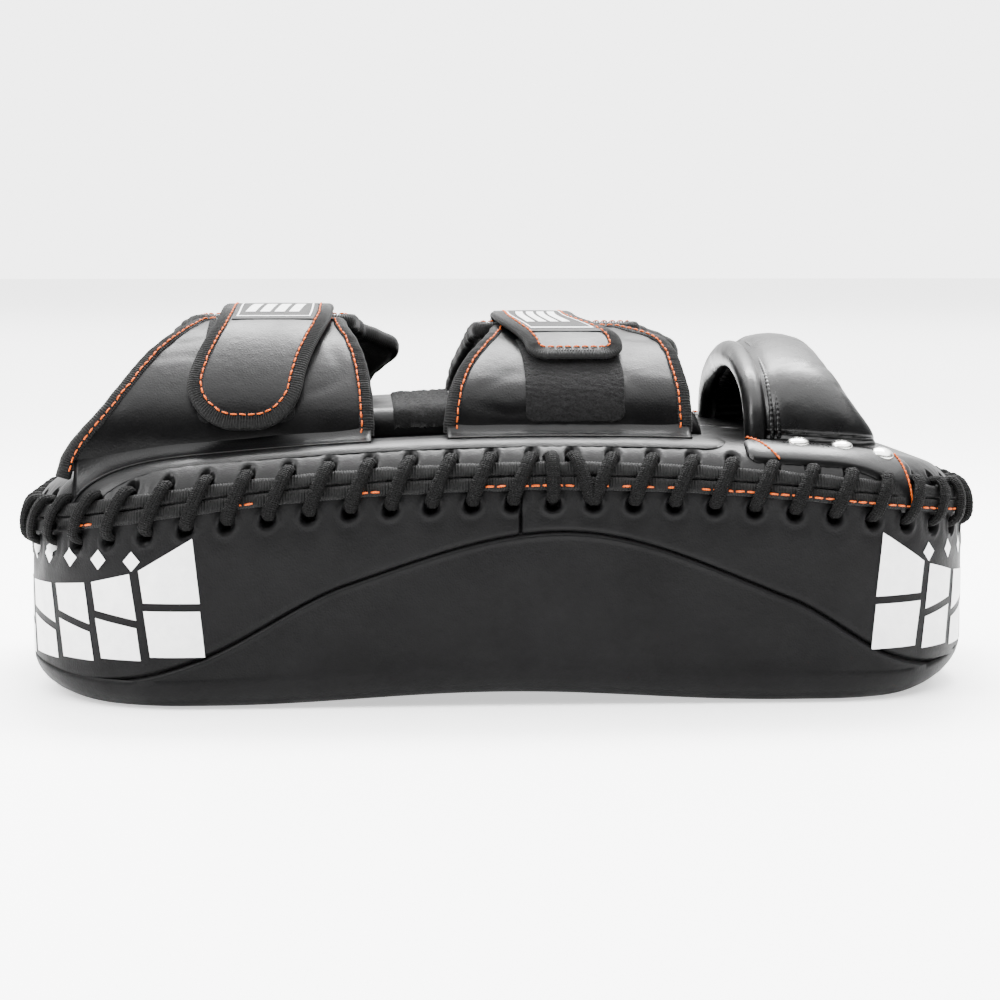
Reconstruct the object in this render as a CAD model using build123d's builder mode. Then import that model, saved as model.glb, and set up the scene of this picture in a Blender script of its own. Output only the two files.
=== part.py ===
"""Curved kick pad: a laced, foam-filled leather pad with two forearm cuffs and a hand grip on its back.

The pad lies on its striking face. X runs along the pad, Y across it and Z up through its back.
"""

import os
from math import acos, asin, cos, degrees, hypot, pi, radians, sin, sqrt, tan

from build123d import *

os.makedirs("parts", exist_ok=True)

# Pad body, in mm
pad_length = 400
pad_width = 200
pad_corner_radius = 70
back_crown_x = 20
back_crown_z = 108
back_radius = 1500
back_end_z = {-1: 86, 1: 88}
top_edge_radius = 24
bottom_edge_radius = 12
skin = 2.5

# Striking face: two flat bands that the pad lies on, a hollow between them and lifted ends
left_band = (-165, -120)
right_band = (115, 160)
hollow_rise = 4.5
end_lift = {-1: 4, 1: 8}

# Foam layers inside
face_foam_top = 14
lace_channel = 15

# Rim: the line where the back cover and the side panels meet, and the tapes along it
rim_crown_x = 15
rim_crown_z = 94
rim_radius = 1100
tape_height = 5.5
tape_thickness = 1.2
panel_seam_x = 4

# Lacing through the two rows of holes
stitch_count = 66
cord_radius = 2.3
lower_hole_drop = 9
upper_hole_rise = 7.5
stitch_slant = 8.5
lace_hole_radius = 2.7
first_stitch_x = 17

# Forearm rest and the strips that the cuffs are sewn to
rest_x = (-172, 84)
rest_half_width = 52
rest_height = 12
rest_cover = 1.6
rest_floor = 60
loop_strip_x = (-45, -21)
strip_x = (-186, 90)
strip_y = (60, 86)
strip_thickness = 1.8

# Cuffs: each has two padded flaps that lean together as one arch over the forearm
flap_half_width = 72
flap_side_radius = 34
flap_leather = 1.8
flap_foam = 5.8
flap_lining = 1.2
flap_binding = 5.5
near_flap_end_y = -10
far_flap_end_y = -4
hinge_gap = 0.4
flap_lift = 1.5

# Straps: hooked over the near flap and sewn to the far one
strap_gap = 0.4
loop_thickness = 1.0
hook_thickness = 1.0
strap_thickness = 2.5
strap_binding = 4
label_thickness = 0.8
strap_pivot_y = 10
anchor_length = 26
binding_proud = 0.4
label_top_y = -3

# Each cuff: arch (half width, rise, side radius, base height), outlines as (x, z) on the side view
cuffs = (
    {
        "letter": "a",
        "arch": (flap_half_width, 52, flap_side_radius, 104),
        "span": (-190, -38),
        "hinge_x": -120,
        "near": [(-183, 60), (-183, 103), (-165, 123), (-149, 144), (-132, 155), (-124, 180),
                 (-66, 180), (-62, 149), (-58, 137), (-56, 120), (-56, 60)],
        "far": [(-183, 60), (-183, 103), (-165, 123), (-149, 144), (-132, 155), (-124, 180),
                (-66, 180), (-60, 153), (-42, 143), (-56, 126), (-56, 60)],
        "strap": [(-119, 190), (-72, 190), (-72, 158), (-84, 130), (-84, 111), (-131, 111),
                  (-131, 130), (-119, 158)],
        "end_radius": 18,
        "loop": [(-124, 190), (-76, 190), (-76, 155), (-88, 130), (-88, 113), (-127, 113), (-127, 130)],
        "label": [(-115, 190), (-83, 190), (-83, 160), (-91, 147), (-122, 147), (-115, 158)],
        "anchor": (-119, -72),
    },
    {
        "letter": "b",
        "arch": (flap_half_width, 42.5, 28, 110),
        "span": (-30, 92),
        "hinge_x": 20,
        "near": [(-26, 60), (-25, 119), (-21, 135), (-6, 149), (0, 180), (50, 180), (56, 152),
                 (71, 148), (76, 132), (77, 120), (77, 60)],
        "far": [(-20, 60), (-20, 122), (-13, 146), (-10, 180), (60, 180), (68, 152), (87, 142),
                (82, 126), (80, 60)],
        "strap": [(-2, 190), (33, 190), (33, 158), (50, 147), (50, 137), (10, 137), (9, 145), (-2, 155)],
        "end_radius": 5,
        "loop": [(2, 190), (30, 190), (38, 152), (48, 140), (48, 113), (8, 113), (8, 140), (2, 152)],
        "label": [(2, 190), (29, 190), (29, 158), (38, 152), (8, 152), (2, 155)],
        "anchor": (-2, 33),
    },
)

# Hand grip
grip_x = (104, 155)
grip_top_x = 140
grip_half_width = 76
grip_base_z = 104
grip_crown_z = 148
grip_side_radius = 36
grip_thickness = 17
grip_skin = 2
grip_edge_radius = 5
roll_radius = 4.3
piping_radius = 0.9
piping_x = (110.5, 113.5)
flange_x = (99, 165)
flange_y = (78.2, 89)
flange_thickness = 1.6
rivet_x = (120, 138, 155)
rivet_y = 80
rivet_head_radius = 4.2
rivet_head_height = 1.8
rivet_shank_radius = 1.5
washer_radius = 4.5
washer_thickness = 0.8
washer_depth = 0.5

# Sizes that follow from the ones above
corner_x = pad_length / 2 - pad_corner_radius
corner_y = pad_width / 2 - pad_corner_radius
quarter_turn = pad_corner_radius * pi / 2
rim_length = 4 * (corner_x + corner_y + quarter_turn)
stitch_pitch = rim_length / stitch_count
arch_leg = 25
flap_thickness = flap_leather + flap_foam + flap_lining
hook_offset = loop_thickness + strap_gap
tab_offset = hook_offset + hook_thickness
strap_top = tab_offset + strap_thickness
beyond = 400


def back_z(x):
    """Height of the back's long arch at a place along the pad."""
    return back_crown_z - back_radius + sqrt(back_radius**2 - (x - back_crown_x) ** 2)


def back_slope(x):
    """Slope of the back's long arch at a place along the pad."""
    return -(x - back_crown_x) / sqrt(back_radius**2 - (x - back_crown_x) ** 2)


def rim_z(x):
    """Height of the line where the back cover meets the side panels."""
    return rim_crown_z - rim_radius + sqrt(rim_radius**2 - (x - rim_crown_x) ** 2)


def pad_solid():
    """Whole pad, from its long profile and its plan, with both rims rounded."""
    left = (-corner_x, back_z(-corner_x))
    right = (corner_x, back_z(corner_x))
    left_top = (-pad_length / 2, back_end_z[-1])
    right_top = (pad_length / 2, back_end_z[1])
    left_foot = (-pad_length / 2, end_lift[-1])
    right_foot = (pad_length / 2, end_lift[1])
    hollow_quarter = (right_band[0] - left_band[1]) / 4
    hollow_left = (left_band[1] + hollow_quarter, hollow_rise / 2)
    hollow_right = (right_band[0] - hollow_quarter, hollow_rise / 2)
    hollow_middle = ((left_band[1] + right_band[0]) / 2, hollow_rise)
    with BuildPart(mode=Mode.PRIVATE) as body:
        with BuildSketch(Plane.XZ):
            with BuildLine():
                ThreePointArc(left, (back_crown_x, back_crown_z), right)
                TangentArc(right, right_top, tangent=(1, back_slope(corner_x)))
                Line(right_top, right_foot)
                TangentArc((right_band[1], 0), right_foot, tangent=(1, 0))
                Line((right_band[1], 0), (right_band[0], 0))
                TangentArc((right_band[0], 0), hollow_right, tangent=(-1, 0))
                ThreePointArc(hollow_right, hollow_middle, hollow_left)
                TangentArc((left_band[1], 0), hollow_left, tangent=(1, 0))
                Line((left_band[1], 0), (left_band[0], 0))
                TangentArc((left_band[0], 0), left_foot, tangent=(-1, 0))
                Line(left_foot, left_top)
                TangentArc(left, left_top, tangent=(-1, -back_slope(-corner_x)))
            make_face()
        extrude(amount=pad_width, both=True)
        with BuildSketch():
            RectangleRounded(pad_length, pad_width, pad_corner_radius)
        extrude(amount=beyond, both=True, mode=Mode.INTERSECT)
        walls = body.faces().filter_by(lambda face: abs(face.normal_at().Z) < 0.3).edges()
        upper = body.faces().filter_by(lambda face: face.normal_at().Z > 0.5).edges()
        fillet([edge for edge in upper if edge in walls], top_edge_radius)
        walls = body.faces().filter_by(lambda face: abs(face.normal_at().Z) < 0.3).edges()
        lower = body.faces().filter_by(lambda face: face.normal_at().Z < -0.5).edges()
        fillet([edge for edge in lower if edge in walls], bottom_edge_radius)
    return body.part


def grown(solid, amount):
    """A solid with every face moved out, or in when the amount is negative."""
    with BuildPart(mode=Mode.PRIVATE) as result:
        add(solid)
        offset(amount=amount, kind=Kind.INTERSECTION)
    return result.part


def back_place(x, y):
    """Plane lying on the back near its rounded edge, with its Z pointing out of the surface."""
    past_x, past_y = max(abs(x) - corner_x, 0), abs(y) - corner_y
    reach = hypot(past_x, past_y)
    tilt = asin(max(0, reach - pad_corner_radius + top_edge_radius) / top_edge_radius)
    out = (past_x / reach * (1 if x > 0 else -1), past_y / reach * (1 if y > 0 else -1))
    height = back_edge(x)[0] - top_edge_radius * (1 - cos(tilt))
    return Plane(origin=(x, y, height), z_dir=(out[0] * sin(tilt), out[1] * sin(tilt), cos(tilt)))


def slab(x_range, y_range, z_range):
    """Plain box between two limits on each axis."""
    size = [high - low for low, high in (x_range, y_range, z_range)]
    middle = [(high + low) / 2 for low, high in (x_range, y_range, z_range)]
    with BuildPart(mode=Mode.PRIVATE) as box:
        with Locations(tuple(middle)):
            Box(*size)
    return box.part


def below_rim(drop):
    """All space below the rim line, or below a line at a depth under it."""
    with BuildPart(mode=Mode.PRIVATE) as space:
        with BuildSketch(Plane.XZ):
            with BuildLine():
                ends = [(x, rim_z(x) - drop) for x in (-beyond / 2 - 20, beyond / 2 + 20)]
                ThreePointArc(ends[0], (rim_crown_x, rim_crown_z - drop), ends[1])
                Polyline(ends[1], (ends[1][0], -beyond), (ends[0][0], -beyond), ends[0])
            make_face()
        extrude(amount=beyond, both=True)
    return space.part


def side_outline(corners, inset=0, foot_radius=0):
    """An outline drawn on the long side view and carried right across the pad."""
    with BuildPart(mode=Mode.PRIVATE) as prism:
        with BuildSketch(Plane.XZ) as outline:
            with BuildLine():
                Polyline(*corners, close=True)
            make_face()
            if foot_radius:
                fillet(outline.vertices().group_by(Axis.Y)[0], foot_radius)
            if inset:
                offset(amount=-inset)
        extrude(amount=beyond, both=True)
    return prism.part


def rim_point(distance):
    """Point on the pad's outline and the angle that faces outward there, at a distance along it."""
    run = distance % rim_length
    x, y = -corner_x, -pad_width / 2
    for heading, side in ((0, 2 * corner_x), (90, 2 * corner_y), (180, 2 * corner_x), (270, 2 * corner_y)):
        along = radians(heading)
        if run <= side:
            return x + run * cos(along), y + run * sin(along), along - pi / 2
        run -= side
        x, y = x + side * cos(along), y + side * sin(along)
        centre_x = x - pad_corner_radius * sin(along)
        centre_y = y + pad_corner_radius * cos(along)
        turn = min(run, quarter_turn) / pad_corner_radius
        out = along - pi / 2 + turn
        x, y = centre_x + pad_corner_radius * cos(out), centre_y + pad_corner_radius * sin(out)
        if run <= quarter_turn:
            return x, y, out
        run -= quarter_turn
    return x, y, -pi / 2


def back_edge(x):
    """Height and slope of the back where it would meet the wall, before that edge is rounded."""
    if abs(x) <= corner_x:
        return back_z(x), back_slope(x)
    side = 1 if x > 0 else -1
    start = side * corner_x
    span = pad_length / 2 - corner_x
    bend = (back_end_z[side] - back_z(start)) / span**2 - side * back_slope(start) / span
    run = abs(x) - corner_x
    height = back_z(start) + side * back_slope(start) * run + bend * run**2
    return height, back_slope(start) + side * 2 * bend * run


def rim_place(distance, height):
    """Plane lying on the pad's rounded rim at a height, with its Z pointing out of the surface."""
    x, y, out = rim_point(distance)
    edge_z, slope = back_edge(x)
    fall = -slope * cos(out)
    centre_z = edge_z + top_edge_radius * (fall - sqrt(1 + fall**2))
    tilt = asin(max(0, min(1, (height - centre_z) / top_edge_radius)))
    inset = top_edge_radius * (1 - cos(tilt))
    point = (x - inset * cos(out), y - inset * sin(out), height)
    normal = (cos(tilt) * cos(out), cos(tilt) * sin(out), sin(tilt))
    return Plane(origin=point, z_dir=normal)


class Arch:
    """Three tangent arcs across the pad, on straight legs that reach down to its back."""

    def __init__(self, half_width, rise, side_radius, base_z):
        spread = half_width - side_radius
        self.half_width, self.base_z, self.spread = half_width, base_z, spread
        self.side_radius = side_radius
        self.drop = (spread**2 - (rise - side_radius) ** 2) / (2 * (rise - side_radius))
        self.crown_radius = rise + self.drop
        self.join = degrees(acos(spread / (self.crown_radius - side_radius)))

    def draw(self, grow):
        """Draw the arch's line, moved outward by a distance, in the open line block."""
        side = self.side_radius + grow
        reach = self.half_width + grow
        foot = self.base_z - arch_leg
        turn = 180 - 2 * self.join
        Line((reach, foot), (reach, self.base_z))
        CenterArc((self.spread, self.base_z), side, 0, self.join)
        CenterArc((0, self.base_z - self.drop), self.crown_radius + grow, self.join, turn)
        CenterArc((-self.spread, self.base_z), side, 180 - self.join, self.join)
        Line((-reach, self.base_z), (-reach, foot))

    def space(self, grow, x_range):
        """Everything under that line between two places along the pad."""
        with BuildPart(mode=Mode.PRIVATE) as solid:
            with BuildSketch(Plane.YZ.offset(x_range[0])):
                with BuildLine():
                    self.draw(grow)
                    foot = self.base_z - arch_leg
                    Line((-self.half_width - grow, foot), (self.half_width + grow, foot))
                make_face()
            extrude(amount=x_range[1] - x_range[0])
        return solid.part

    def layer(self, high, low, x_range):
        """The layer between two distances from the arch's line."""
        with BuildPart(mode=Mode.PRIVATE) as solid:
            add(self.space(high, x_range))
            add(self.space(low, x_range), mode=Mode.SUBTRACT)
        return solid.part

    def height(self, y, grow):
        """Height of the crown arc at a place across the pad."""
        return self.base_z - self.drop + sqrt((self.crown_radius + grow) ** 2 - y**2)


def write(name, piece):
    """Label a finished piece and write its file."""
    piece.label = name
    export_step(piece, f"parts/{name}.step")


# ---------------------------------------------------------------- pad
outer = pad_solid()
inner = grown(outer, -skin)

with BuildPart() as shell:
    add(outer)
    add(inner, mode=Mode.SUBTRACT)

# The face cover comes up the long sides in an arc and stays low round the ends
with BuildPart() as face_zone:
    with BuildSketch(Plane.XZ):
        with BuildLine():
            seam = Spline((-230, 9), (-165, 11), (-123, 22), (-66, 51), (25, 72),
                          (114, 44), (156, 20), (185, 13), (230, 13))
            Polyline(seam @ 1, (230, -60), (-230, -60), seam @ 0)
        make_face()
    extrude(amount=beyond, both=True)

below = below_rim(0)
channel_floor = below_rim(lace_channel)

with BuildPart() as striking_face_cover:
    add(shell.part)
    add(face_zone.part, mode=Mode.INTERSECT)
write("striking_face_cover", striking_face_cover.part)

lower_holes = []
upper_holes = []
first_stitch = corner_x + first_stitch_x
for count in range(stitch_count):
    low_run = first_stitch + count * stitch_pitch
    high_run = low_run + (stitch_slant if count else 0)
    low_z = rim_z(rim_point(low_run)[0]) - lower_hole_drop
    high_z = rim_z(rim_point(high_run)[0]) + upper_hole_rise
    lower_holes.append(rim_place(low_run, low_z))
    upper_holes.append(rim_place(high_run, high_z))

for name, side in (("side_panel_left", -1), ("side_panel_right", 1)):
    with BuildPart() as side_panel:
        add(shell.part)
        add(below, mode=Mode.INTERSECT)
        add(face_zone.part, mode=Mode.SUBTRACT)
        panel_x = sorted((panel_seam_x, side * beyond))
        add(slab(panel_x, (-beyond, beyond), (-beyond, beyond)), mode=Mode.INTERSECT)
        with Locations(*[hole.location for hole in lower_holes]):
            Cylinder(lace_hole_radius, 12, mode=Mode.SUBTRACT)
    write(name, side_panel.part)

rivets = [back_place(x, side * rivet_y) for side in (-1, 1) for x in rivet_x]
washer_lift = -skin - washer_depth - washer_thickness / 2

with BuildPart() as back_cover:
    add(shell.part)
    add(below, mode=Mode.SUBTRACT)
    with Locations(*[hole.location for hole in upper_holes]):
        Cylinder(lace_hole_radius, 12, mode=Mode.SUBTRACT)
    with Locations(*[rivet.location for rivet in rivets]):
        Cylinder(rivet_shank_radius, 12, mode=Mode.SUBTRACT)
write("back_cover", back_cover.part)

with BuildPart() as tape_shell:
    add(grown(outer, tape_thickness))
    add(outer, mode=Mode.SUBTRACT)
for name, top, bottom in (("side_binding_tape", 0, tape_height), ("back_binding_tape", -tape_height, 0)):
    with BuildPart() as tape:
        add(tape_shell.part)
        add(below_rim(top), mode=Mode.INTERSECT)
        add(below_rim(bottom), mode=Mode.SUBTRACT)
    write(name, tape.part)

with BuildPart() as foam_face_layer:
    add(inner)
    add(slab((-beyond, beyond), (-beyond, beyond), (-beyond, face_foam_top)), mode=Mode.INTERSECT)
write("foam_face_layer", foam_face_layer.part)

with BuildPart() as foam_core_layer:
    add(inner)
    add(channel_floor, mode=Mode.INTERSECT)
    add(slab((-beyond, beyond), (-beyond, beyond), (-beyond, face_foam_top)), mode=Mode.SUBTRACT)
write("foam_core_layer", foam_core_layer.part)

with BuildPart() as foam_back_layer:
    add(inner)
    add(channel_floor, mode=Mode.SUBTRACT)
    with BuildSketch():
        RectangleRounded(pad_length - 2 * lace_channel, pad_width - 2 * lace_channel,
                         pad_corner_radius - lace_channel)
    extrude(amount=beyond, mode=Mode.INTERSECT)
    with Locations(*[rivet.offset(washer_lift).location for rivet in rivets]):
        Cylinder(washer_radius, washer_thickness + 2 * washer_depth, mode=Mode.SUBTRACT)
write("foam_back_layer", foam_back_layer.part)

# Lacing: over the tapes outside, and back to the next lower hole behind the covers
outside = tape_thickness + cord_radius + 1.5
inside = -(skin + cord_radius + 0.2)
route = [rim_place(first_stitch, rim_z(first_stitch_x) - lower_hole_drop).offset(inside).origin]
for low, high, following in zip(lower_holes, upper_holes, lower_holes[1:] + [None]):
    route += [low.offset(outside).origin, high.offset(outside).origin, high.offset(inside).origin]
    if following:
        route.append(following.offset(inside).origin)
knot_z = rim_z(first_stitch_x)
route.append(rim_place(first_stitch - 0.6 * stitch_pitch, knot_z).offset(inside).origin)
radii = []
for before, point, after in zip(route, route[1:], route[2:]):
    turn = (point - before).get_angle(after - point)
    shorter_run = min((point - before).length, (after - point).length)
    radii.append(0.45 * shorter_run / tan(radians(turn / 2)))
with BuildPart() as lacing_cord:
    with BuildLine() as cord_path:
        FilletPolyline(*route, radius=radii)
    with BuildSketch(Plane(origin=cord_path.line @ 0, z_dir=cord_path.line % 0)):
        Circle(cord_radius)
    sweep()
write("lacing_cord", lacing_cord.part)
cord_length = sum(edge.length for edge in cord_path.edges())
print(f"lacing: {cord_length:.0f} mm long, radii {min(radii):.1f} to {max(radii):.1f} mm")
print(f"lacing volume over section times length: "
      f"{lacing_cord.part.volume / (pi * cord_radius**2 * cord_length):.4f}")

# ---------------------------------------------------------------- forearm rest and cuff strips
def rest_block(shrink):
    """The raised rest, following the back's arch, drawn in on its sides and top."""
    with BuildPart(mode=Mode.PRIVATE) as block:
        add(grown(outer, rest_height - shrink))
        low_x, high_x = rest_x
        half = rest_half_width - shrink
        add(slab((low_x + shrink, high_x - shrink), (-half, half), (rest_floor, beyond)), mode=Mode.INTERSECT)
        add(outer, mode=Mode.SUBTRACT)
    return block.part


rest_outside = rest_block(0)
rest_inside = rest_block(rest_cover)
with BuildPart() as forearm_rest_cover:
    add(rest_outside)
    add(rest_inside, mode=Mode.SUBTRACT)
write("forearm_rest_cover", forearm_rest_cover.part)

with BuildPart() as forearm_rest_foam:
    add(rest_inside)
write("forearm_rest_foam", forearm_rest_foam.part)

with BuildPart() as rest_loop_strip:
    add(grown(outer, rest_height + loop_thickness))
    loop_half = rest_half_width + loop_thickness
    add(slab(loop_strip_x, (-loop_half, loop_half), (rest_floor, beyond)), mode=Mode.INTERSECT)
    add(outer, mode=Mode.SUBTRACT)
    add(rest_outside, mode=Mode.SUBTRACT)
write("rest_loop_strip", rest_loop_strip.part)

lace_zone = below_rim(-upper_hole_rise - 2 * cord_radius)
with BuildPart() as strip_shell:
    add(grown(outer, strip_thickness))
    add(outer, mode=Mode.SUBTRACT)
for name, side in (("flap_strip_near", -1), ("flap_strip_far", 1)):
    with BuildPart() as flap_strip:
        add(strip_shell.part)
        across = sorted((side * strip_y[0], side * strip_y[1]))
        add(slab(strip_x, across, (rest_floor, beyond)), mode=Mode.INTERSECT)
        add(lace_zone, mode=Mode.SUBTRACT)
    write(name, flap_strip.part)

# ---------------------------------------------------------------- cuffs and straps
under_flaps = grown(outer, strip_thickness + flap_lift)

for cuff in cuffs:
    letter, arch, span = cuff["letter"], Arch(*cuff["arch"]), cuff["span"]
    for half, side, end_y in (("near", -1, near_flap_end_y), ("far", 1, far_flap_end_y)):
        outline = cuff[half]
        for piece, high, low, inset in (
            ("leather", 0, -flap_leather, flap_binding),
            ("foam", -flap_leather, -flap_leather - flap_foam, flap_binding),
            ("lining", -flap_leather - flap_foam, -flap_thickness, flap_binding),
            ("binding", binding_proud, -flap_thickness - binding_proud, 0),
        ):
            across = sorted((side * beyond, end_y + side * inset))
            across_panel = sorted((side * beyond, end_y + side * flap_binding))
            panel = side_outline(outline, flap_binding) & slab(span, across_panel, (0, beyond))
            with BuildPart() as flap_piece:
                add(arch.layer(high, low, span))
                add(side_outline(outline, inset), mode=Mode.INTERSECT)
                add(slab(span, across, (0, beyond)), mode=Mode.INTERSECT)
                if piece == "binding":
                    add(panel, mode=Mode.SUBTRACT)
                add(under_flaps, mode=Mode.SUBTRACT)
            write(f"{half}_flap_{letter}_{piece}", flap_piece.part)

    near_side = slab(span, (-beyond, near_flap_end_y - flap_binding), (0, beyond))
    with BuildPart() as loop_patch:
        add(arch.layer(loop_thickness, 0, span))
        add(side_outline(cuff["loop"]), mode=Mode.INTERSECT)
        add(near_side, mode=Mode.INTERSECT)
    write(f"loop_patch_{letter}", loop_patch.part)

    hinge_y = strap_pivot_y - hinge_gap / 2
    with BuildPart() as strap_binding_frame:
        add(arch.layer(strap_top + binding_proud, hook_offset, span))
        add(side_outline(cuff["strap"], 0, cuff["end_radius"]), mode=Mode.INTERSECT)
        add(slab(span, (-beyond, hinge_y), (0, beyond)), mode=Mode.INTERSECT)
        add(side_outline(cuff["strap"], strap_binding, cuff["end_radius"]), mode=Mode.SUBTRACT)
    write(f"strap_{letter}_binding", strap_binding_frame.part)

    with BuildPart() as strap_tab:
        add(arch.layer(strap_top, tab_offset, span))
        add(side_outline(cuff["strap"], strap_binding, cuff["end_radius"]), mode=Mode.INTERSECT)
        add(slab(span, (-beyond, hinge_y), (0, beyond)), mode=Mode.INTERSECT)
    write(f"strap_{letter}_tab", strap_tab.part)

    with BuildPart() as hook_patch:
        add(arch.layer(tab_offset, hook_offset, span))
        add(side_outline(cuff["strap"], strap_binding, cuff["end_radius"]), mode=Mode.INTERSECT)
        add(near_side, mode=Mode.INTERSECT)
    write(f"strap_{letter}_hook_patch", hook_patch.part)

    with BuildPart() as strap_label:
        add(arch.layer(strap_top + label_thickness, strap_top, span))
        add(side_outline(cuff["label"]), mode=Mode.INTERSECT)
        add(side_outline(cuff["strap"], strap_binding, cuff["end_radius"]), mode=Mode.INTERSECT)
        add(slab(span, (-beyond, label_top_y), (0, beyond)), mode=Mode.INTERSECT)
    write(f"strap_{letter}_label", strap_label.part)

    with BuildPart() as strap_anchor:
        add(arch.layer(strap_top, 0, span))
        anchor_y = (strap_pivot_y + hinge_gap / 2, strap_pivot_y + anchor_length)
        add(slab(cuff["anchor"], anchor_y, (0, beyond)), mode=Mode.INTERSECT)
    write(f"strap_{letter}_anchor", strap_anchor.part)
    print(f"cuff {letter}: strap hinge at z {arch.height(strap_pivot_y, strap_top + binding_proud):.2f}")
    hinge_x = cuff["hinge_x"]
    hinge_z = back_z(hinge_x) + strip_thickness + hinge_gap
    print(f"cuff {letter}: flap hinges at y {flap_half_width + binding_proud:.1f}, z {hinge_z:.2f}")

# ---------------------------------------------------------------- hand grip
grip = Arch(grip_half_width, grip_crown_z - grip_base_z, grip_side_radius, grip_base_z)
grip_outline = [(grip_x[0], 60), (grip_x[1], 60), (grip_x[1], grip_base_z + 2),
                (grip_top_x, grip_crown_z - 8), (grip_top_x, 200), (grip_x[0], 200)]
with BuildPart() as grip_block:
    add(grip.layer(0, -grip_thickness, (grip_x[0] - 10, grip_x[1] + 10)))
    add(side_outline(grip_outline), mode=Mode.INTERSECT)
    long_edges = grip_block.edges().filter_by(lambda edge: edge.center().Z > grip_base_z - arch_leg + 1)
    long_edges = long_edges.filter_by(lambda edge: abs(edge.bounding_box().size.Y) > 1
                                      or edge.bounding_box().size.Z > 10)
    fillet(long_edges, grip_edge_radius)
grip_core = grown(grip_block.part, -grip_skin)
with BuildPart() as roll:
    with BuildLine(Plane.YZ.offset(grip_x[0])) as roll_path:
        grip.draw(-grip_thickness / 2)
    with BuildSketch(Plane(origin=roll_path.line @ 0, z_dir=(0, 0, 1))):
        Circle(roll_radius)
    sweep()
middle = grip.space(-grip_thickness / 2, (0, beyond))

with BuildPart() as handle_core:
    add(grip_core)
    add(outer, mode=Mode.SUBTRACT)
    add(roll.part, mode=Mode.SUBTRACT)
write("handle_core", handle_core.part)

for name, zone_mode in (("handle_cover", Mode.SUBTRACT), ("handle_lining", Mode.INTERSECT)):
    with BuildPart() as handle_skin:
        add(grip_block.part)
        add(grip_core, mode=Mode.SUBTRACT)
        add(middle, mode=zone_mode)
        add(outer, mode=Mode.SUBTRACT)
        add(roll.part, mode=Mode.SUBTRACT)
    write(name, handle_skin.part)

with BuildPart() as handle_rim_roll:
    add(roll.part)
    add(outer, mode=Mode.SUBTRACT)
write("handle_rim_roll", handle_rim_roll.part)

with BuildPart() as handle_piping:
    for x in piping_x:
        with BuildLine(Plane.YZ.offset(x)) as piping_path:
            grip.draw(piping_radius)
        with BuildSketch(Plane(origin=piping_path.line @ 0, z_dir=(0, 0, 1))):
            Circle(piping_radius)
        sweep()
    add(outer, mode=Mode.SUBTRACT)
write("handle_piping", handle_piping.part)

flange_outside = grown(outer, flange_thickness)
for name, side in (("handle_flange_near", -1), ("handle_flange_far", 1)):
    with BuildPart() as flange:
        add(flange_outside)
        add(outer, mode=Mode.SUBTRACT)
        across = sorted((side * flange_y[0], side * flange_y[1]))
        add(slab(flange_x, across, (rest_floor, beyond)), mode=Mode.INTERSECT)
        add(lace_zone, mode=Mode.SUBTRACT)
        with Locations(*[rivet.location for rivet in rivets]):
            Cylinder(rivet_shank_radius, 12, mode=Mode.SUBTRACT)
    write(name, flange.part)

shank_length = flange_thickness + skin + washer_depth + washer_thickness
with BuildPart() as rivet:
    with Locations((0, 0, flange_thickness + rivet_head_height / 2)):
        Cylinder(rivet_head_radius, rivet_head_height)
    fillet(rivet.edges().group_by(Axis.Z)[-1], rivet_head_height * 0.8)
    with Locations((0, 0, flange_thickness - shank_length / 2)):
        Cylinder(rivet_shank_radius, shank_length)
with BuildPart() as handle_rivets:
    with Locations(*[place.location for place in rivets]):
        add(rivet.part)
write("handle_rivets", handle_rivets.part)

with BuildPart() as handle_rivet_washers:
    with Locations(*[place.offset(washer_lift).location for place in rivets]):
        Cylinder(washer_radius, washer_thickness)
        Cylinder(rivet_shank_radius, washer_thickness, mode=Mode.SUBTRACT)
write("handle_rivet_washers", handle_rivet_washers.part)
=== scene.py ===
"""Visual model of the curved kick pad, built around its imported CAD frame.

Shapes are worked out in millimetres, in the frame's own axes, and written in metres.
"""

import math
from bisect import bisect_right

import bmesh
import bpy
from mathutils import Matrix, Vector, noise


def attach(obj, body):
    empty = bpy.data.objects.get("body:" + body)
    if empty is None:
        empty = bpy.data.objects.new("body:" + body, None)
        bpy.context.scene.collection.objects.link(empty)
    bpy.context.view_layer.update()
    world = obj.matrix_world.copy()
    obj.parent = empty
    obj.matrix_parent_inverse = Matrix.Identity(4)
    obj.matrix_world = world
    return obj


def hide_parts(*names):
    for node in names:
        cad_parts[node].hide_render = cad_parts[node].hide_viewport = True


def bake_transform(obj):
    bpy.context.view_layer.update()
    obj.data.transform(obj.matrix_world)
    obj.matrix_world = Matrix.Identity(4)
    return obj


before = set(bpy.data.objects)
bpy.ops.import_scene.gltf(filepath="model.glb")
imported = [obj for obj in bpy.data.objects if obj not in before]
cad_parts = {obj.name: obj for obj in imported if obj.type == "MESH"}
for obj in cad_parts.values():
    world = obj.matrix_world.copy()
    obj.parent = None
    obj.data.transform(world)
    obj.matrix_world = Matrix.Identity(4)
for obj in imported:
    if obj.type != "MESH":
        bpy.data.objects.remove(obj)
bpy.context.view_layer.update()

MM = 0.001
PI = math.pi

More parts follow.
